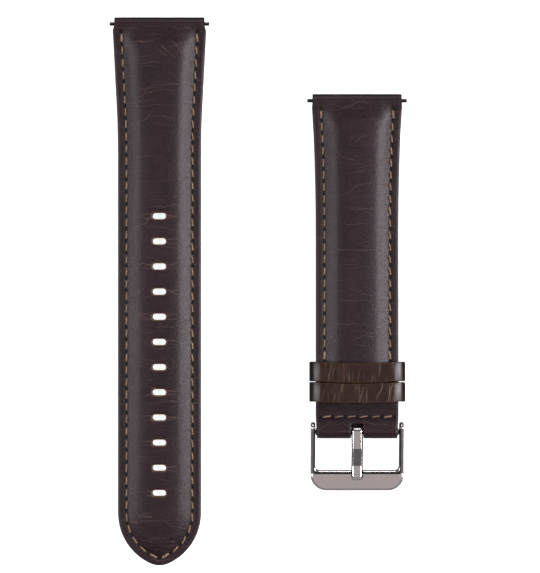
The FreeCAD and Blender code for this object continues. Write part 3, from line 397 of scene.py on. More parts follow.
# the opening underneath for the release lever
notch = {"x": (5.5, 8.7), "s": (0.6, 4.0), "top": 1.4}

tail = {
    "node": "tail_top_leather",
    "length": 120.0,
    "lug": 19.7,
    "shoulder": 20.5,
    "mid": 18.9,
    "midAt": 18.0,
    "width": 18.2,
    "taperEnd": 30.0,
    "crownEnd": math.inf,
    "sideStitchEnd": math.inf,
    "pointLength": 11.6,
    "noseRadius": 4.0,
    "endNarrowing": 0.0,
    "endRun": 1.0,
    "stitches": 88,
}

short = {
    "node": "short_top_leather",
    "length": 75.3,
    "lug": 19.5,
    "shoulder": 19.76,
    "mid": 19.0,
    "midAt": 9.0,
    "width": 18.1,
    "taperEnd": 31.0,
    "crownEnd": 60.4,
    "endNarrowing": 0.3,
    "endRun": 4.8,
    "sideStitchEnd": 58.5,
    "crossStitch": 70.5,
    "crossWidth": 16.0,
    "crossCount": 6,
    "stitchPitch": 2.68,
}

holes = {
    "first": 43.5,
    "pitch": 5.5,
    "count": 12,
    "half": (1.47, 0.67),
    "corner": (1.28, 0.50),
}

tailRoot = tail["length"] - tail["pointLength"]
holePlaces = [holes["first"] + holes["pitch"] * i for i in range(holes["count"])]


def halfWidth(strap, s):
    if s <= fold["shoulderStart"]:
        return strap["lug"] / 2
    if s < fold["shoulderEnd"]:
        share = (s - fold["shoulderStart"]) / (fold["shoulderEnd"] - fold["shoulderStart"])
        return (strap["lug"] + (strap["shoulder"] - strap["lug"]) * share) / 2
    if s < strap["midAt"]:
        share = (s - fold["shoulderEnd"]) / (strap["midAt"] - fold["shoulderEnd"])
        return (strap["shoulder"] + (strap["mid"] - strap["shoulder"]) * share) / 2
    if s < strap["taperEnd"]:
        run, flare = strap["taperEnd"] - strap["midAt"], (strap["mid"] - strap["width"]) / 2
        radius = (run**2 + flare**2) / (2 * flare)
        left = strap["taperEnd"] - s
        return strap["width"] / 2 + radius - math.sqrt(radius**2 - left**2)
    past = max(s - strap["length"] + strap["endRun"], 0) / strap["endRun"]
    return strap["width"] / 2 - strap["endNarrowing"] * past


def pointReach(inset, bearing):
    # from the middle of the tail's point out to its edge drawn in by inset; bearing 0 is the tip
    half, run = tail["width"] / 2 - inset, tail["pointLength"] - inset
    nose = max(tail["noseRadius"] - inset, 0.3)
    flank = (half**2 + (run - nose) ** 2 - nose**2) / (2 * half - 2 * nose)
    x, s = math.sin(bearing), math.cos(bearing)
    middle = run - nose
    inside = (s * middle) ** 2 - middle**2 + nose**2
    if inside >= 0:
        reach = s * middle + math.sqrt(inside)
        if math.atan2(reach * x, reach * s - middle) <= math.atan2(flank - half, middle):
            return reach
    across = x * (half - flank)
    return across + math.sqrt(across**2 - (half - flank) ** 2 + flank**2)


def marginHeight(strap, s):
    rise = 2 * fold["radius"] - section["margin"]
    share = 1 - (s - fold["radius"]) / fold["run"]
    if strap is short and s > strap["length"] / 2:
        share = 1 - (strap["length"] - fold["radius"] - s) / fold["run"]
    return section["margin"] + rise * min(max(share, 0), 1)


def crownLift(strap, s, inset):
    # how far the padded middle stands above the margin
    top = section["crownLug"]
    top -= (top - section["crownFar"]) * s / strap["length"]
    top += section["margin"]
    foldTop = 2 * fold["radius"]
    risen = min(max((s - section["crownStart"]) / section["crownRise"], 0), 1)
    if s < section["crownBlend"]:
        top = foldTop + (top - foldTop) * risen * risen * (3 - 2 * risen)
    end = section["crownInset"] + strap["crownEnd"] - s
    inset = min(inset, end * section["crownEndSlope"])
    share = min(max((inset - section["crownInset"]) / section["crownSlope"], 0), 1)
    lift = max(top - marginHeight(strap, s), 0)
    fullness = section["crownFullness"] + section["crownFuller"] * lift
    return lift * (1 - (1 - share ** section["crownEase"]) ** fullness)


def edgeDrop(s, inset):
    # how far the burnished edge is rounded off
    share = max(1 - inset / section["edgeRound"], 0)
    started = min(max((s - fold["shoulderEnd"]) / section["edgeStart"], 0), 1)
    return section["edgeFall"] * share ** section["edgePower"] * started


def grooveDrop(inset):
    return section["grooveDepth"] * math.exp(
        -(((inset - section["stitchInset"]) / section["grooveWidth"]) ** 2)
    )


def foldRows(strap, nearEnd=True):
    # round a fold from its seam underneath to the top: (s, z, on top, wall)
    radius = fold["radius"]
    rows = [(s, 0.0, False, wall) for s, wall in fold["under"]]
    for step in range(1, 8):
        turn = math.pi * step / 8
        height = radius - radius * math.cos(turn)
        rows.append((radius - radius * math.sin(turn), height, False, fold["bore"]))
    rows += [(s, None, True, wall) for s, wall in fold["over"]]
    if nearEnd:
        return rows
    far = strap["length"]
    return [(far - s, z, onTop, wall) for s, z, onTop, wall in reversed(rows)]


# columns are closest together at the edge and the seam
edgeInsets = [0.0, 0.14, 0.3, 0.62, 1.15, 1.55, 1.9, 2.25, 2.45, 2.75, 3.2, 3.8, 4.35]
innerInset, outerMiddle = edgeInsets[-1], 3.9
innerSteps = [("between", share) for share in (0.2, 0.42, 0.68)]


def crossPlace(strap, s, column):
    # distance from the middle line and inset from the edge
    kind, size = column
    half = halfWidth(strap, s)
    if kind == "between":
        size = (half - innerInset) * (1 - size) + outerMiddle * size
    return (half - size, size) if kind == "edge" else (size, half - size)


def pathLengths(strap, end):
    # a table of the seam line from the first stitch on: length so far, x, s
    inset = section["stitchInset"]
    line = []
    for s in np.arange(section["stitchStart"], end + 0.001, 0.1):
        line.append((halfWidth(strap, s) - inset, s))
    if strap is tail:
        for bearing in np.linspace(math.pi / 2, 0, 120):
            reach = pointReach(inset, bearing)
            line.append((reach * math.sin(bearing), tailRoot + reach * math.cos(bearing)))
    line = np.array(line)
    steps = np.hypot(*np.diff(line, axis=0).T)
    return np.concatenate([[0], np.cumsum(steps)]), line


tailLine = pathLengths(tail, tailRoot)
shortLine = pathLengths(short, short["sideStitchEnd"])
tailPitch = 2 * tailLine[0][-1] / tail["stitches"]
shortPitch = shortLine[0][-1] / round(shortLine[0][-1] / short["stitchPitch"])


def alongSeam(strap, s, bearing=None):
    # length along the seam line, for a point abreast of it
    lengths, line = tailLine if strap is tail else shortLine
    if bearing is None:
        return s - section["stitchStart"]
    reach = pointReach(section["stitchInset"], bearing)
    at = tailRoot + reach * math.cos(bearing)
    x = reach * math.sin(bearing)
    nearest = np.argmin(np.hypot(line[:, 0] - x, line[:, 1] - at))
    return float(lengths[nearest])


def holeRim(x, s):
    # distance from the rim of the nearest hole, up to 3 mm
    nearest = min(holePlaces, key=lambda place: abs(place - s))
    across, down = abs(x) - holes["half"][0], abs(s - nearest) - holes["half"][1]
    return min(math.hypot(max(across, 0), max(down, 0)), 3.0)


def inHole(x, s):
    return abs(x) < holes["half"][0] and any(abs(s - at) < holes["half"][1] for at in holePlaces)


def strapPlace(strap):
    # from a strap's own frame, with s running along -y, to where it lies
    if strap is tail:
        low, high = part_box(tail["node"])
        return Matrix.Translation(((low.x + high.x) / 2, high.y, 0))
    lugBar, buckleBar = middleOf("short_bar_tube"), middleOf("buckle_bar_tube")
    reach = buckleBar - lugBar
    lean = math.atan2(reach.z, -reach.y)
    centre = Matrix.Translation((0, fold["radius"] * mm, -fold["radius"] * mm))
    return Matrix.Translation(lugBar) @ Matrix.Rotation(-lean, 4, "X") @ centre


places = {"tail": strapPlace(tail), "short": strapPlace(short)}


# the tail's leather, lining and filling


def flatRows(*steps):
    return [(float(s), None, True, 1.0) for s in steps]


def tailRows(start=None):
    rows = foldRows(tail) if start is None else flatRows(start, start + 0.4)
    first = rows[-1][0]
    steps = [3.7, 4.2, 4.8, 5.6, 6.6, 7.4, 8.0, 8.8, 10.2, 12.0, 14.0, 16.0, 18.0, 20.0, 22.0, 24.0]
    steps += [26.0, 28.0, 30.0, 32.0, 34.0, 36.0, 38.0, 39.8, 41.2]
    for place in holePlaces:
        steps += [place + d for d in (-1.2, -0.67, -0.2, 0.2, 0.67, 1.2, 2.75)]
    steps = steps[:-1] + [106.6]
    return rows + flatRows(*[s for s in steps if s > first + 0.05])


tailColumns = [("edge", inset) for inset in edgeInsets] + innerSteps
tailColumns += [("middle", x) for x in (3.9, 3.0, 2.0, 1.47, 1.0, 0.5, 0.0)]
fanBearings = [math.pi / 2 * (1 - i / 13) for i in range(14)]


def wholeTail(rows):
    # down the right side, round the point and up the left side
    right = [(1, row, None) for row in rows]
    right += [(1, (tailRoot, None, True, 1.0), bearing) for bearing in fanBearings]
    left = [(-1, row, bearing) for side, row, bearing in reversed(right[:-1])]
    return right + left


def onTail(row, column):
    # x, s, margin height, inset, and the length along the seam
    side, (s, z, onTop, wall), bearing = row
    if bearing is None:
        x, inset = crossPlace(tail, s, column)
        # the corners of a hole are drawn in, which rounds them
        place = min(holePlaces, key=lambda at: abs(at - s))
        rimX, rimS = holes["half"]
        if column == ("middle", rimX) and abs(abs(s - place) - rimS) < 0.01:
            x, s = holes["corner"][0], place + math.copysign(holes["corner"][1], s - place)
        return side * x, s, inset, alongSeam(tail, s)
    kind, size = column
    if kind == "between":
        size = pointReach(innerInset, bearing) * (1 - size) + outerMiddle * size
    reach = pointReach(size, bearing) if kind == "edge" else size
    inset = size if kind == "edge" else max(tail["width"] / 2 - size, innerInset)
    x, s = side * reach * math.sin(bearing), tailRoot + reach * math.cos(bearing)
    return x, s, inset, alongSeam(tail, s, bearing)


def topHeight(strap, row, x, s, inset):
    z, onTop = row[1], row[2]
    if not onTop:
        return z
    height = marginHeight(strap, s) + crownLift(strap, s, inset) - edgeDrop(s, inset)
    if section["stitchStart"] < s < strap["sideStitchEnd"] + 0.5:
        height -= grooveDrop(inset)
    return height - crossGroove(x, s) if strap is short else height


def tailSheet(name, rows, columns, height):
    # a sheet over the whole tail, with the readings that its finish follows
    def place(row, column):
        x, s, inset, along = onTail(row, column)
        return x, -s, height(row[1], s, inset)

    piece = gridPiece(
        name, rows, columns, place,
        along=lambda row, column: onTail(row, column)[3],
        inset=lambda row, column: onTail(row, column)[2],
        rim=lambda row, column: holeRim(*onTail(row, column)[:2]),
        wall=lambda row, column: row[1][3] / section["thickest"],
    )
    weigh(piece, "wall")
    mergeDoubles(piece)
    cutAway(piece, lambda c: inHole(c.x, -c.y))
    return piece


def inNotch(c):
    low, high = notch["x"]
    near, far = notch["s"]
    return low < c.x < high and near < -c.y < far and c.z < notch["top"]


def madeLeather(piece):
    cutAway(piece, inNotch)
    turnOutwards(piece, lambda c, normal: normal.z > 0 or c.z < fold["radius"])
    thickened(piece, section["thickest"], "wall")
    return piece


def madeLining(piece):
    cutAway(piece, inNotch)
    turnOutwards(piece, lambda c, normal: normal.z < 0)
    thickened(piece, section["lining"])
    return piece


def tailLeather():
    top = lambda row, s, inset: topHeight(tail, row, 0, s, inset)
    piece = tailSheet("tail_leather", wholeTail(tailRows()), tailColumns, top)
    return madeLeather(piece)


def tailLining():
    rows = wholeTail(tailRows(fold["seam"]))
    piece = tailSheet("tail_lining", rows, tailColumns, lambda *spot: 0)
    return madeLining(piece)


def padHeight(strap, s, inset):
    return marginHeight(strap, s) + crownLift(strap, s, inset) - section["padUnder"]


def filled(piece, bottom):
    # closes a sheet down to a level bottom
    onAll(piece, lambda: bpy.ops.mesh.extrude_region_move())
    for vertex in piece.data.vertices:
        if vertex.select:
            vertex.co.z = bottom * mm
    turnConsistent(piece)


def thickened(piece, wall, group=None):
    settings = {"thickness": wall * mm, "offset": -1, "use_even_offset": True}
    settings.update(edge_crease_inner=1.0, edge_crease_outer=0.25, use_quality_normals=True)
    if group:
        settings.update(vertex_group=group)
    applied(piece, "SOLIDIFY", **settings)
    applied(piece, "SUBSURF", levels=1, render_levels=1, boundary_smooth="PRESERVE_CORNERS")


def tailFilling():
    rows = [row for row in tailRows() if row[2] and row[0] > section["padStart"]]
    padColumns = [("edge", inset) for inset in (section["padInset"], 3.5, 3.9, innerInset)]
    padColumns += [column for column in tailColumns if column[0] == "middle"]
    piece = tailSheet(
        "tail_filling", wholeTail(rows), padColumns, lambda row, s, inset: padHeight(tail, s, inset)
    )
    filled(piece, section["lining"] + section["padGap"])
    return piece


# the buckle strap's leather, lining and filling

tongueSlot = {"half": 1.36, "from": 72.1, "fromUnder": 72.75}


def shortRows(first=None, last=None):
    rows = foldRows(short) if first is None else flatRows(first, first + 0.4)
    far = foldRows(short, nearEnd=False) if last is None else flatRows(last)
    steps = [3.7, 4.2, 4.8, 5.6, 6.6, 7.4, 8.0, 8.8] + list(np.arange(10.0, 56.5, 1.5))
    steps += [55.7, 56.2, 56.7, 57.2, 57.6, 58.2, 59.0, 60.5, 62.5, 64.5, 66.0, 67.0, 67.3, 67.6]
    steps += [68.6, 69.6, 70.1, 70.5, 70.9, 71.5]
    low, high = rows[-1][0] + 0.05, far[0][0] - 0.05
    if last is None:
        high = short["length"] - fold["over"][-1][0] - 0.05
    return rows + flatRows(*[s for s in sorted(steps) if low < s < high]) + far


def shortColumns():
    right = [("edge", inset) for inset in edgeInsets] + innerSteps
    right += [("middle", x) for x in (3.9, 3.0, 1.9, 1.36, 0.7, 0.0)]
    both = [(1, column) for column in right]
    return both + [(-1, column) for column in reversed(right[:-1])]


def onShort(row, column):
    side, place = column
    x, inset = crossPlace(short, row[0], place)
    return side * x, row[0], inset


def crossGroove(x, s):
    across = abs(s - short["crossStitch"]) / section["grooveWidth"]
    within = abs(x) < short["crossWidth"] / 2
    return section["grooveDepth"] * math.exp(-(across**2)) if within else 0


def shortSheet(name, rows, columns, height):
    def place(row, column):
        x, s, inset = onShort(row, column)
        return x, -s, height(row, x, s, inset)

    piece = gridPiece(
        name, rows, columns, place,
        along=lambda row, column: alongSeam(short, row[0]),
        inset=lambda row, column: onShort(row, column)[2],
        across=lambda row, column: onShort(row, column)[0],
        run=lambda row, column: row[0],
        wall=lambda row, column: row[3] / section["thickest"],
    )
    weigh(piece, "wall")
    return piece


def inTongueSlot(c):
    start = tongueSlot["from" if c.z > fold["radius"] else "fromUnder"]
    return abs(c.x) < tongueSlot["half"] and -c.y > start


def shortLeather():
    top = lambda *spot: topHeight(short, *spot)
    piece = shortSheet("buckle_strap_leather", shortRows(), shortColumns(), top)
    cutAway(piece, inTongueSlot)
    return madeLeather(piece)


def shortLining():
    rows = shortRows(fold["seam"], short["length"] - fold["seam"])
    piece = shortSheet("buckle_strap_lining", rows, shortColumns(), lambda *spot: 0)
    return madeLining(piece)


def shortFilling():
    low, high = section["padStart"], short["crownEnd"] - section["padEndGap"]
    rows = [row for row in shortRows() if row[2] and low < row[0] < high]
    columns = []
    for side, (kind, size) in shortColumns():
        if kind == "middle" or size > section["padInset"]:
            columns.append((side, (kind, size)))
    piece = shortSheet(
        "buckle_strap_filling", rows, columns, lambda row, x, s, inset: padHeight(short, s, inset)
    )
    filled(piece, section["lining"] + section["padGap"])
    return piece


# thread

stitch = {
    "length": 2.05,
    "thick": 0.36,
    "rise": 0.10,
    "dip": 0.42,
    "slant": {"right": 9.0, "left": -3.0},
    "doubled": 1.35,
    "crossThin": 0.78,
    "twist": 26.0,
}


def oneStitch():
    # an arc of thread that comes up out of one hole and goes down into the next
    ends = [-1.0, -0.93, -0.72, -0.3, 0.3, 0.72, 0.93, 1.0]

    def place(share, turn):
        radius = stitch["thick"] / 2 * (1 - abs(share) ** 6) ** 0.5 * (1 - 0.25 * share**2)
        height = stitch["rise"] * (1 - share**2) - stitch["dip"] * abs(share) ** 5
        angle = 2 * math.pi * turn
        across, up = radius * math.cos(angle), radius * math.sin(angle)
        return share * stitch["length"] / 2, across, height + up

    piece = gridPiece("stitch", ends, [i / 8 for i in range(9)], place)
    mergeDoubles(piece)
    turnConsistent(piece)
    return piece


def copyOf(piece, place):
    twin = piece.copy()
    twin.data = piece.data.copy()
    twin.data.transform(place)
    bpy.context.scene.collection.objects.link(twin)
    return twin


def joined(name, pieces):
    bpy.ops.object.select_all(action="DESELECT")
    for piece in pieces:
        piece.select_set(True)
    bpy.context.view_layer.objects.active = pieces[0]
    bpy.ops.object.join()
    whole = bpy.context.object
    whole.name = whole.data.name = name
    smooth(whole, 60)
    return whole


def seamSpots(strap, count, pitch):
    # middle and bearing of each stitch down one side
    lengths, line = tailLine if strap is tail else shortLine
    spots = []
    for i in range(count):
        ends = [(i + share) * pitch for share in (0.2, 0.5, 0.8)]
        x = np.interp(ends, lengths, line[:, 0])
        s = np.interp(ends, lengths, line[:, 1])
        z = [marginHeight(strap, value) for value in s]
        run = Vector((x[2] - x[0], -(s[2] - s[0]), z[2] - z[0]))
        spots.append((Vector((x[1], -s[1], z[1])), run))
    return spots


def stitchedRow(model, spots, side, thin=1.0):
    slant = math.radians(stitch["slant"]["right" if side > 0 else "left"])
    made = []
    for i, (middle, run) in enumerate(spots):
        turn = run.to_track_quat("X", "Z").to_matrix().to_4x4()
        fat = stitch["doubled"] if i in (0, len(spots) - 1) else 1.0
        scale = Matrix.Diagonal((1.0, fat * thin, thin, 1.0))
        turn = turn @ Matrix.Rotation(slant * side, 4, "Z")
        place = Matrix.Translation(middle * mm) @ turn @ scale
        if side < 0:
            place = Matrix.Diagonal((-1, 1, 1, 1)) @ place @ Matrix.Diagonal((1, -1, 1, 1))
        made.append(copyOf(model, place))
    return made


def threadRows():
    model = oneStitch()
    spots = seamSpots(tail, tail["stitches"] // 2, tailPitch)
    rows = stitchedRow(model, spots, 1) + stitchedRow(model, spots, -1)
    tailThread = joined("tail_stitches", rows)
    spots = seamSpots(short, round(shortLine[0][-1] / shortPitch), shortPitch)
    rows = stitchedRow(model, spots, 1) + stitchedRow(model, spots, -1)
    crossing = []
    for i in range(short["crossCount"]):
        x = (i + 0.5) * short["crossWidth"] / short["crossCount"] - short["crossWidth"] / 2
        middle = Vector((x, -short["crossStitch"], marginHeight(short, short["crossStitch"])))
        crossing.append((middle, Vector((1, 0, 0))))
    rows += stitchedRow(model, crossing, 1, stitch["crossThin"])
    shortThread = joined("buckle_strap_stitches", rows)
    bpy.data.objects.remove(model)
    return tailThread, shortThread


# keepers

keepers = {
    "band": 4.3,
    "wall": 1.1,
    "half": 10.45,
    "top": 6.0,
    "bottom": -1.2,
    "corner": 2.8,
    "lowerCorner": 1.2,
    "freeAt": 60.65,
    "fixedAt": 65.1,
    "freeBow": 0.34,
    "fixedBow": 0.30,
    "footFrom": 6.45,
    "footThickness": 0.5,
    "footTop": 0.9,
    "footEnd": 9.5,
    "crown": 0.12,
    "sway": 0.035,
    "swayTurn": 1.3,
}

bandEdge = keepers["band"] / 2
bandColumns = [-bandEdge, -1.98, -1.6, -1.0, -0.35, 0.35, 1.0, 1.6, 1.98, bandEdge]


def arcPoints(middle, radius, start, end, count):
    turns = [math.radians(start + (end - start) * i / count) for i in range(count + 1)]
    return [(middle[0] + radius * math.cos(t), middle[1] + radius * math.sin(t)) for t in turns]


def straightPoints(start, end, count):
    return [
        (start[0] + (end[0] - start[0]) * i / count, start[1] + (end[1] - start[1]) * i / count)
        for i in range(1, count)
    ]


def keeperPath(free):
    # the outside of the ring or arch, from the middle or the foot round to the other side
    half, top = keepers["half"], keepers["top"]
    corner, low = keepers["corner"], keepers["lowerCorner"]
    bottom = keepers["bottom"] if free else section["lining"]
    if free:
        right = [(0.05, bottom), (0.3, bottom)]
        right += straightPoints(right[-1], (half - low, bottom), 6)
        right += arcPoints((half - low, bottom + low), low, -90, 0, 5)
    else:
        right = [(keepers["footFrom"], bottom), (half - 1.4, bottom), (half - 0.35, bottom)]
        right += arcPoints((half - 0.3, bottom + 0.3), 0.3, -90, 0, 3)[1:]
    right += straightPoints(right[-1], (half, top - corner), 4)
    right += arcPoints((half - corner, top - corner), corner, 0, 90, 6)
    right += straightPoints((half - corner, top), (0, top), 8)
    return right + [(0, top)] + [(-x, z) for x, z in reversed(right)]


def keeper(name, free):
    at = keepers["freeAt"] if free else keepers["fixedAt"]
    bow = keepers["freeBow"] if free else keepers["fixedBow"]
    path = keeperPath(free)
    reach = keepers["half"] - keepers["corner"] / 2

    def place(point, across):
        x, z = point
        lift = -keepers["crown"] * (across / bandEdge) ** 2 if z > 3 else 0
        share = max(1 - (x / reach) ** 2, 0) if z > 3 else 0
        sway = keepers["sway"] * math.sin(keepers["swayTurn"] * x + at) if z > 5 else 0
        return x, -at + across - bow * share + sway, z + lift

    lengths = [0.0]
    for before, after in zip(path, path[1:]):
        lengths.append(lengths[-1] + math.dist(before, after))
    runs = dict(zip(path, lengths))

    def wallShare(point, across):
        foot = not free and point[1] < keepers["footTop"] and abs(point[0]) < keepers["footEnd"]
        return keepers["footThickness"] / keepers["wall"] if foot else 1.0

    piece = gridPiece(
        name, path, bandColumns, place,
        round=lambda point, across: runs[point],
        across=lambda point, across: across,
        seed=lambda point, across: at,
        wall=wallShare,
    )
    weigh(piece, "wall")
    turnOutwards(piece, lambda c, normal: normal.z * (c.z - 2.5) > 0)
    thickened(piece, keepers["wall"], "wall")
    return piece


# finishes

leatherLook = {
    "dark": rgb(25, 14, 18),
    "worn": rgb(47, 31, 36),
    "crease": rgb(104, 82, 72),
    "edge": rgb(20, 15, 16),
    # painted highlight along the rounded edge
    "bevelHighlight": rgb(46, 38, 42),
    "seam": rgb(34, 22, 17),
    "rim": rgb(112, 86, 64),
    # painted shade inside the needle holes
    "needle": rgb(6, 4, 3),
    "roughness": 0.36,
    "shine": 0.27,
    "wax": 0.06,
    "waxRoughness": 0.3,
    "bump": (0.8, 0.09),
    # the side seams' needle holes stop here, short of the cross seam
    "sideSeamEnd": (60.5, 60.0),
    # turn, spacing, width, sway, seed and strength of each family of creases
    "creases": [
        (0.03, 2.7, 0.09, 6.0, 1.0, 0.50),
        (-0.24, 4.4, 0.08, 8.0, 2.0, 0.48),
        (0.33, 5.2, 0.08, 8.0, 3.0, 0.44),
        (0.02, 1.15, 0.07, 3.5, 4.0, 0.28),
    ],
    # short ones beside the stitches
    "pulled": (0.0, 0.62, 0.075, 1.6, 9.0, 0.42),
    # middle, size, and the crease family that belongs there
    "diagonals": ((-17.2, 52.4), 5.0, (0.82, 0.85, 0.11, 3.0, 7.0, 0.8)),
}


def hairlines(board, point, turn, spacing, width, sway, seed, strength, run=0.11):
    # thin wavy lines side by side, each coming and going along its length
    turned = board.stretched(point, (1, 1, 1), turn)
    x, y, z = board.split(turned)
    wave = board.noise(turned, 0.10, 2.0) * sway + board.noise(turned, 0.75, 2.0) * 0.7
    place = (y + wave) / spacing + seed * 0.37
    number = place.floor()
    shift = board.chance(number + seed) * 0.6 - 0.3
    off = abs(place.fraction() + shift - 0.5) * spacing
    shown = board.noise(board.together(x * run, number * 3.7 + seed), 1.0, 1.0).between(0.50, 0.68)
    return off.between(width, width * 0.3) * shown * strength


def manyHairlines(board, point, families):
    lines = hairlines(board, point, *families[0])
    for family in families[1:]:
        lines = lines.most(hairlines(board, point, *family))
    return lines


def needleSpots(board, along, across, pitch, end):
    # painted shade of the needle holes between stitches, as dark spots along a seam that starts at
    # 0
    phase = (along / pitch + 0.5).fraction() - 0.5
    down = abs(phase) * (pitch / 0.5)
    across = abs(across) / 0.42
    spot = (down * down + across * across).between(1.0, 0.4)
    return spot * along.between(-0.5, -0.35) * along.between(end + 0.5, end + 0.35)


def holeCreases(board, point):
    # worn lines that start from the ends of the strap holes
    x, y, z = board.split(point)
    low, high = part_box(tail["node"])
    middle = (low.x + high.x) / 2 / mm
    s = high.y / mm - y
    out = abs(x - middle)
    phase = ((s - holes["first"]) / holes["pitch"] + 0.5).fraction() - 0.5
    reach = board.noise(point, 0.35, 2.0) * 3.2 - 1.6
    lines = abs(phase * holes["pitch"] + reach * (out - 1.5) * 0.45 + 0.35).between(0.16, 0.04)
    other = abs(phase * holes["pitch"] - reach * (out - 1.5) * 0.3 - 0.45).between(0.14, 0.04)
    shown = board.noise(point, 0.21, 2.0).between(0.40, 0.55)
    region = out.between(1.4, 1.7) * out.between(5.8, 2.6)
    region = region * s.between(holes["first"] - 2, holes["first"] - 1)
    return lines.most(other * 0.8) * shown * region


def waxed(board, look, colour, rough, height):
    return board.surface(colour, rough, {
        "Normal": board.bump(height, *look["bump"]),
        "Specular IOR Level": look["shine"],
        "Coat Weight": look["wax"],
        "Coat Roughness": look["waxRoughness"],
    })


def darkLeather(name, seam, holed=False, crossed=False):
    board = newFinish(name)
    look = leatherLook
    point = board.point()
    inset = board.reading("inset")
    shade = board.noise(point, 0.16, 3.0).between(0.3, 0.75)
    mottle = board.noise(point, 1.1, 4.0, 0.7).between(0.35, 0.8)
    sparkle = board.noise(point, 2.7, 3.0, 0.75).between(0.40, 0.64)
    grain = board.cells(point, 3.2)
    pores = board.noise(point, 7.0, 2.0)
    creases = manyHairlines(board, point, look["creases"])
    pulled = hairlines(board, point, *look["pulled"], run=0.45)
    creases = creases.most(pulled * inset.between(5.2, 3.0) * inset.between(2.0, 2.5))
    if holed:
        (x, y), size, family = look["diagonals"]
        sockets = {0: point, 1: (x, y, 3.0)}
        away = board.node("VectorMath", {"operation": "DISTANCE"}, sockets, output="Value")
        creases = creases.most(hairlines(board, point, *family) * away.between(size, size * 0.6))
        creases = creases.most(holeCreases(board, point) * 0.55)
    worn = shade * 0.30 + mottle * 0.12 + sparkle * 0.55
    colour = board.mixed(worn, look["dark"], look["worn"])
    colour = board.mixed(creases, colour, look["crease"])
    # painted highlight: a lighter line along the rounded edge, just inside the edge paint
    bevelHighlight = inset.between(0.70, 0.45) * inset.between(0.16, 0.34)
    colour = board.mixed(bevelHighlight * 0.7, colour, look["bevelHighlight"])
    colour = board.mixed(inset.between(0.26, 0.10), colour, look["edge"])
    off = abs(inset - section["stitchInset"])
    colour = board.mixed(off.between(0.8, 0.2) * 0.6, colour, look["seam"])
    pitch, end = seam
    spot = needleSpots(board, board.reading("along"), off, pitch, end)
    if crossed:
        x = board.reading("across") + short["crossWidth"] / 2
        s = board.reading("run") - short["crossStitch"]
        width = short["crossWidth"]
        crossSpot = needleSpots(board, x, s, width / short["crossCount"], width)
        spot = spot * board.reading("run").between(*look["sideSeamEnd"])
        spot = spot.most(crossSpot)
    # painted shade in the needle holes
    colour = board.mixed(spot, colour, look["needle"])
    rough = mottle * 0.10 + grain * 0.06 + spot * 0.3 + (look["roughness"] - 0.06)
    height = grain * 0.35 + pores * 0.25 + sparkle * 0.2 - creases * 0.9 - spot * 6.0
    if holed:
        rim = board.reading("rim").between(0.28, 0.05)
        rim = rim * (board.noise(point, 2.3, 3.0) * 0.7 + 0.45).least(1.0)
        colour = board.mixed(rim * 0.8, colour, look["rim"])
    return waxed(board, look, colour, rough, height)


keeperLook = {
    "dark": rgb(31, 17, 11),
    "worn": rgb(52, 33, 25),
    "crack": rgb(122, 96, 70),
    "edge": rgb(66, 47, 28),
    # painted shade for the keeper's rounded ends
    "side": rgb(14, 11, 8),
    "roughness": 0.28,
    "shine": 0.35,
    "wax": 0.1,
    "waxRoughness": 0.25,
    "bump": (0.5, 0.08),
    "cracks": [
        (1.55, 1.1, 0.10, 2.2, 2.0, 0.60),
        (1.30, 1.9, 0.09, 2.4, 5.0, 0.60),
        (1.85, 2.3, 0.09, 2.4, 8.0, 0.60),
        (1.57, 0.6, 0.08, 1.4, 11.0, 0.36),
    ],
}


def keeperLeather():
    board = newFinish("keeper_leather")
    look = keeperLook
    point = board.point()
    across, around = board.reading("across"), board.reading("round")
    unrolled = board.together(around, across, board.reading("seed"))
    shade = board.noise(point, 0.5, 3.0).between(0.3, 0.7)
    cracks = manyHairlines(board, unrolled, look["cracks"])
    grain = board.cells(point, 3.2)
    colour = board.mixed(shade * 0.6, look["dark"], look["worn"])
    colour = board.mixed(cracks, colour, look["crack"])
    colour = board.mixed(abs(across).between(1.75, 2.1) * 0.7, colour, look["edge"])
    x, y, z = board.split(point)
    middle = middleOf("free_keeper").x / mm
    # painted shade: the keeper darkens over its rounded ends
    colour = board.mixed(abs(x - middle).between(9.2, 10.2) * 0.85, colour, look["side"])
    rough = grain * 0.08 + look["roughness"]
    return waxed(board, look, colour, rough, grain * 0.35 - cracks * 0.8)


def liningLeather():
    board = newFinish("lining_leather")
    point = board.point()
    inset = board.reading("inset")
    shade = board.noise(point, 0.3, 3.0).between(0.3, 0.75)
    pores = board.cells(point, 4.5)
    fine = board.noise(point, 9.0, 2.0)
    colour = board.mixed(shade, rgb(74, 50, 36), rgb(96, 66, 46))
    colour = board.mixed(inset.between(0.34, 0.08), colour, rgb(28, 21, 19))
    bump = board.bump(pores * 0.5 + fine * 0.4, 0.4, 0.05)
    return board.surface(colour, pores * 0.1 + 0.58, {"Normal": bump})


def fillingFelt():
    board = newFinish("filling_felt")
    fibres = board.noise(board.stretched(board.point(), (1.0, 1.0, 4.0)), 3.0, 4.0, 0.7)
    colour = board.mixed(fibres, rgb(62, 52, 46), rgb(98, 86, 76))
    bump = board.bump(fibres, 0.6, 0.1)
    return board.surface(colour, 0.95, {"Normal": bump})


def waxedThread(name, light, dark):
    board = newFinish(name)
    around, lengthways, rest = board.split(board.node("TexCoord", output="UV"))
    strands = (around * (4 * math.pi) + lengthways * stitch["twist"]).sine()
    fuzz = board.noise(board.point(), 9.0, 2.0)
    soiled = board.noise(board.point(), 0.55, 2.0).between(0.35, 0.65)
    colour = board.mixed(strands.between(-0.9, 0.5) * 0.7 + fuzz * 0.2, dark, light)
    colour = board.mixed(soiled * 0.45, colour, dark)
    bump = board.bump(strands + fuzz * 0.6, 0.6, 0.05)
    return board.surface(colour, 0.62, {"Normal": bump})


def twistedThread(name, light, dark):
    # for thread pieces that have no pattern of their own to follow
    board = newFinish(name)
    strands = board.noise(board.stretched(board.point(), (2.5, 2.5, 5.0), 0.6), 1.6, 3.0)
    colour = board.mixed(strands.between(0.35, 0.65), dark, light)
    bump = board.bump(strands, 0.5, 0.05)
    return board.surface(colour, 0.65, {"Normal": bump})


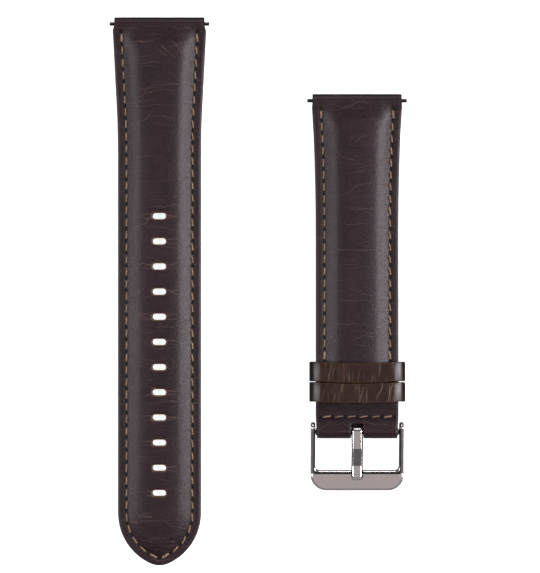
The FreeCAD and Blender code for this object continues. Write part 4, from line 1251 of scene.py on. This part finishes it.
buckleLook = {
    # painted dark reflection, mixed into the steel along the buckle's inner corners and the
    # tongue's edges
    "darkReflection": rgb(34, 32, 35),
    "brushDepth": 0.0024,
    "windowHalf": 9.15,
    "windowReach": 8.5,
    "tongueHalf": 1.27,
    "tongueCrown": 0.30,
}


def steel(name, tint, roughness, brushed, grainTurn=0.0, shading=None):
    # shading gives the share of painted dark reflection along the corners and edges, and a height
    # for the bump
    board = newFinish(name)
    point = board.point()
    brush = board.noise(board.stretched(point, (0.6, 9.0, 9.0), grainTurn), 1.0, 3.0, 0.7)
    smudge = board.noise(point, 0.35, 3.0).between(0.35, 0.75)
    rough = brush * brushed + smudge * 0.05 + roughness
    colour = board.mixed(smudge * 0.3, tint, tuple(c * 0.86 for c in tint[:3]) + (1.0,))
    height = brush * buckleLook["brushDepth"] * mm
    if shading:
        # painted dark reflection mixed into the steel's colour
        darkReflection, crown = shading(board, point)
        colour = board.mixed(darkReflection, colour, buckleLook["darkReflection"])
        height = height + crown
    bump = board.bump(height, 1.0, 1000.0)
    return board.surface(colour, rough, {"Metallic": 1.0, "Normal": bump})


def frameShading(board, point):
    # painted dark reflection along the inner corner of the arms and the top of the front bar
    x, y, z = board.split(point)
    middle, bar = middleOf("buckle_frame").x / mm, middleOf("buckle_bar_tube").y / mm
    aside = abs(x - middle) - buckleLook["windowHalf"]
    front = bar - buckleLook["windowReach"] - y
    arm = aside.between(0.04, 0.12) * aside.between(0.42, 0.28) * front.between(0.3, 0.0)
    rail = front.between(0.24, 0.34) * front.between(0.86, 0.72) * aside.between(0.4, 0.0)
    return arm.most(rail) * 0.9, 0.0


def tongueShading(board, point):
    # rounds the top of the tongue from side to side, and paints a dark reflection along its edges
    x, y, z = board.split(point)
    across = abs(x - middleOf("buckle_tongue").x / mm) / buckleLook["tongueHalf"]
    fallen = across.least(1.0) ** 4
    return across.between(0.84, 0.95) * 0.85, fallen * -buckleLook["tongueCrown"] * mm


def floorFinish():
    return newFinish("pale_floor").surface((0.8, 0.8, 0.8, 1.0), 0.9, {
        "Emission Color": (1.0, 1.0, 1.0, 1.0),
        "Emission Strength": view["floorGlow"],
        "Specular IOR Level": 0.2,
    })


sky = {
    "zenith": (0.40, 0.365, 0.36, 1.0),
    "high": (0.10, 0.095, 0.10, 1.0),
    "low": (0.20, 0.195, 0.20, 1.0),
    "horizon": (0.30, 0.30, 0.31, 1.0),
    "under": (0.10, 0.10, 0.105, 1.0),
    "front": (0.75, 0.75, 0.77, 1.0),
}

skyHeights = [(0.0, "under"), (0.03, "horizon"), (0.2, "low"), (0.72, "high"), (0.95, "high")]
skyHeights += [(0.985, "zenith"), (1.0, "zenith")]


def softSky():
    world = bpy.data.worlds.new("studio")
    bpy.context.scene.world = world
    board = Board(world)
    x, y, height = board.split(board.node("TexCoord", output="Generated"))
    stops = [(place, sky[part]) for place, part in skyHeights]
    colour = board.node("ValToRGB", {"stops": stops}, {0: height})
    front = y.between(-0.25, -0.8) * height.between(0.26, 0.14)
    colour = board.mixed(front, colour, sky["front"])
    board.ended("OutputWorld", board.node("Background", None, {"Color": colour}))


floor.data.materials.append(floorFinish())
softSky()
tailSeam = (tailPitch, 2 * tailLine[0][-1])
shortSeam = (shortPitch, shortLine[0][-1])
finishes = {
    "tail": darkLeather("tail_waxed_leather", tailSeam, holed=True),
    "short": darkLeather("buckle_strap_waxed_leather", shortSeam, crossed=True),
    "keeper": keeperLeather(),
    "lining": liningLeather(),
    "felt": fillingFelt(),
    "thread": waxedThread("stitch_thread", rgb(176, 150, 122), rgb(96, 74, 56)),
    "bobbin": twistedThread("bobbin_thread", rgb(186, 158, 120), rgb(116, 92, 66)),
    "buckle": steel(
        "polished_buckle_steel", rgb(240, 236, 234), 0.13, 0.07, shading=frameShading
    ),
    "tongue": steel(
        "polished_tongue_steel", rgb(240, 237, 236), 0.13, 0.07, math.pi / 2, tongueShading
    ),
    "bar": steel("bar_steel", rgb(74, 71, 69), 0.24, 0.12),
    "spring": steel("spring_wire_steel", rgb(170, 170, 172), 0.28, 0.05),
}
say("finishes")


def layTail(piece, finish, slot, replaced):
    lay(piece, places["tail"], "tail_strap", finishes[finish], slot, replaced)


def layShort(piece, finish, slot, replaced, body="buckle_strap"):
    lay(piece, places["short"], body, finishes[finish], slot, replaced)


layTail(tailLeather(), "tail", "top_leather", "tail_top_leather")
layTail(tailLining(), "lining", "lining_leather", "tail_lining")
layTail(tailFilling(), "felt", "padding", "tail_padding")
say("tail")
layShort(shortLeather(), "short", "top_leather", "short_top_leather")
layShort(shortLining(), "lining", "lining_leather", "short_lining")
layShort(shortFilling(), "felt", "padding", "short_padding")
say("buckle strap")
tailThread, shortThread = threadRows()
layTail(tailThread, "thread", "thread", "tail_needle_thread")
layShort(shortThread, "thread", "thread", "short_needle_thread")
say("stitches")
fixedBand, freeBand = keeper("fixed_keeper_band", False), keeper("free_keeper_band", True)
layShort(fixedBand, "keeper", "keeper_leather", "fixed_keeper")
layShort(freeBand, "keeper", "keeper_leather", "free_keeper", "sliding_keeper")
say("keepers")

for name in ("tail_leather", "tail_lining", "buckle_strap_leather", "buckle_strap_lining"):
    smooth(bpy.data.objects[name], 40)
for band in (fixedBand, freeBand):
    smooth(band, 40)

# finishes of the CAD's own pieces
carried = {"thread": "bobbin", "polished_steel": "buckle", "bar_steel": "bar"}
for name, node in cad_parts.items():
    if node.hide_render:
        continue
    slot = node.data.materials[0].name.split(".")[0]
    look = "tongue" if name == "buckle_tongue" else carried[slot]
    if name.endswith("_spring"):
        look = "spring"
    for place in node.material_slots:
        place.material = finishes[look]
say("carried-over nodes")
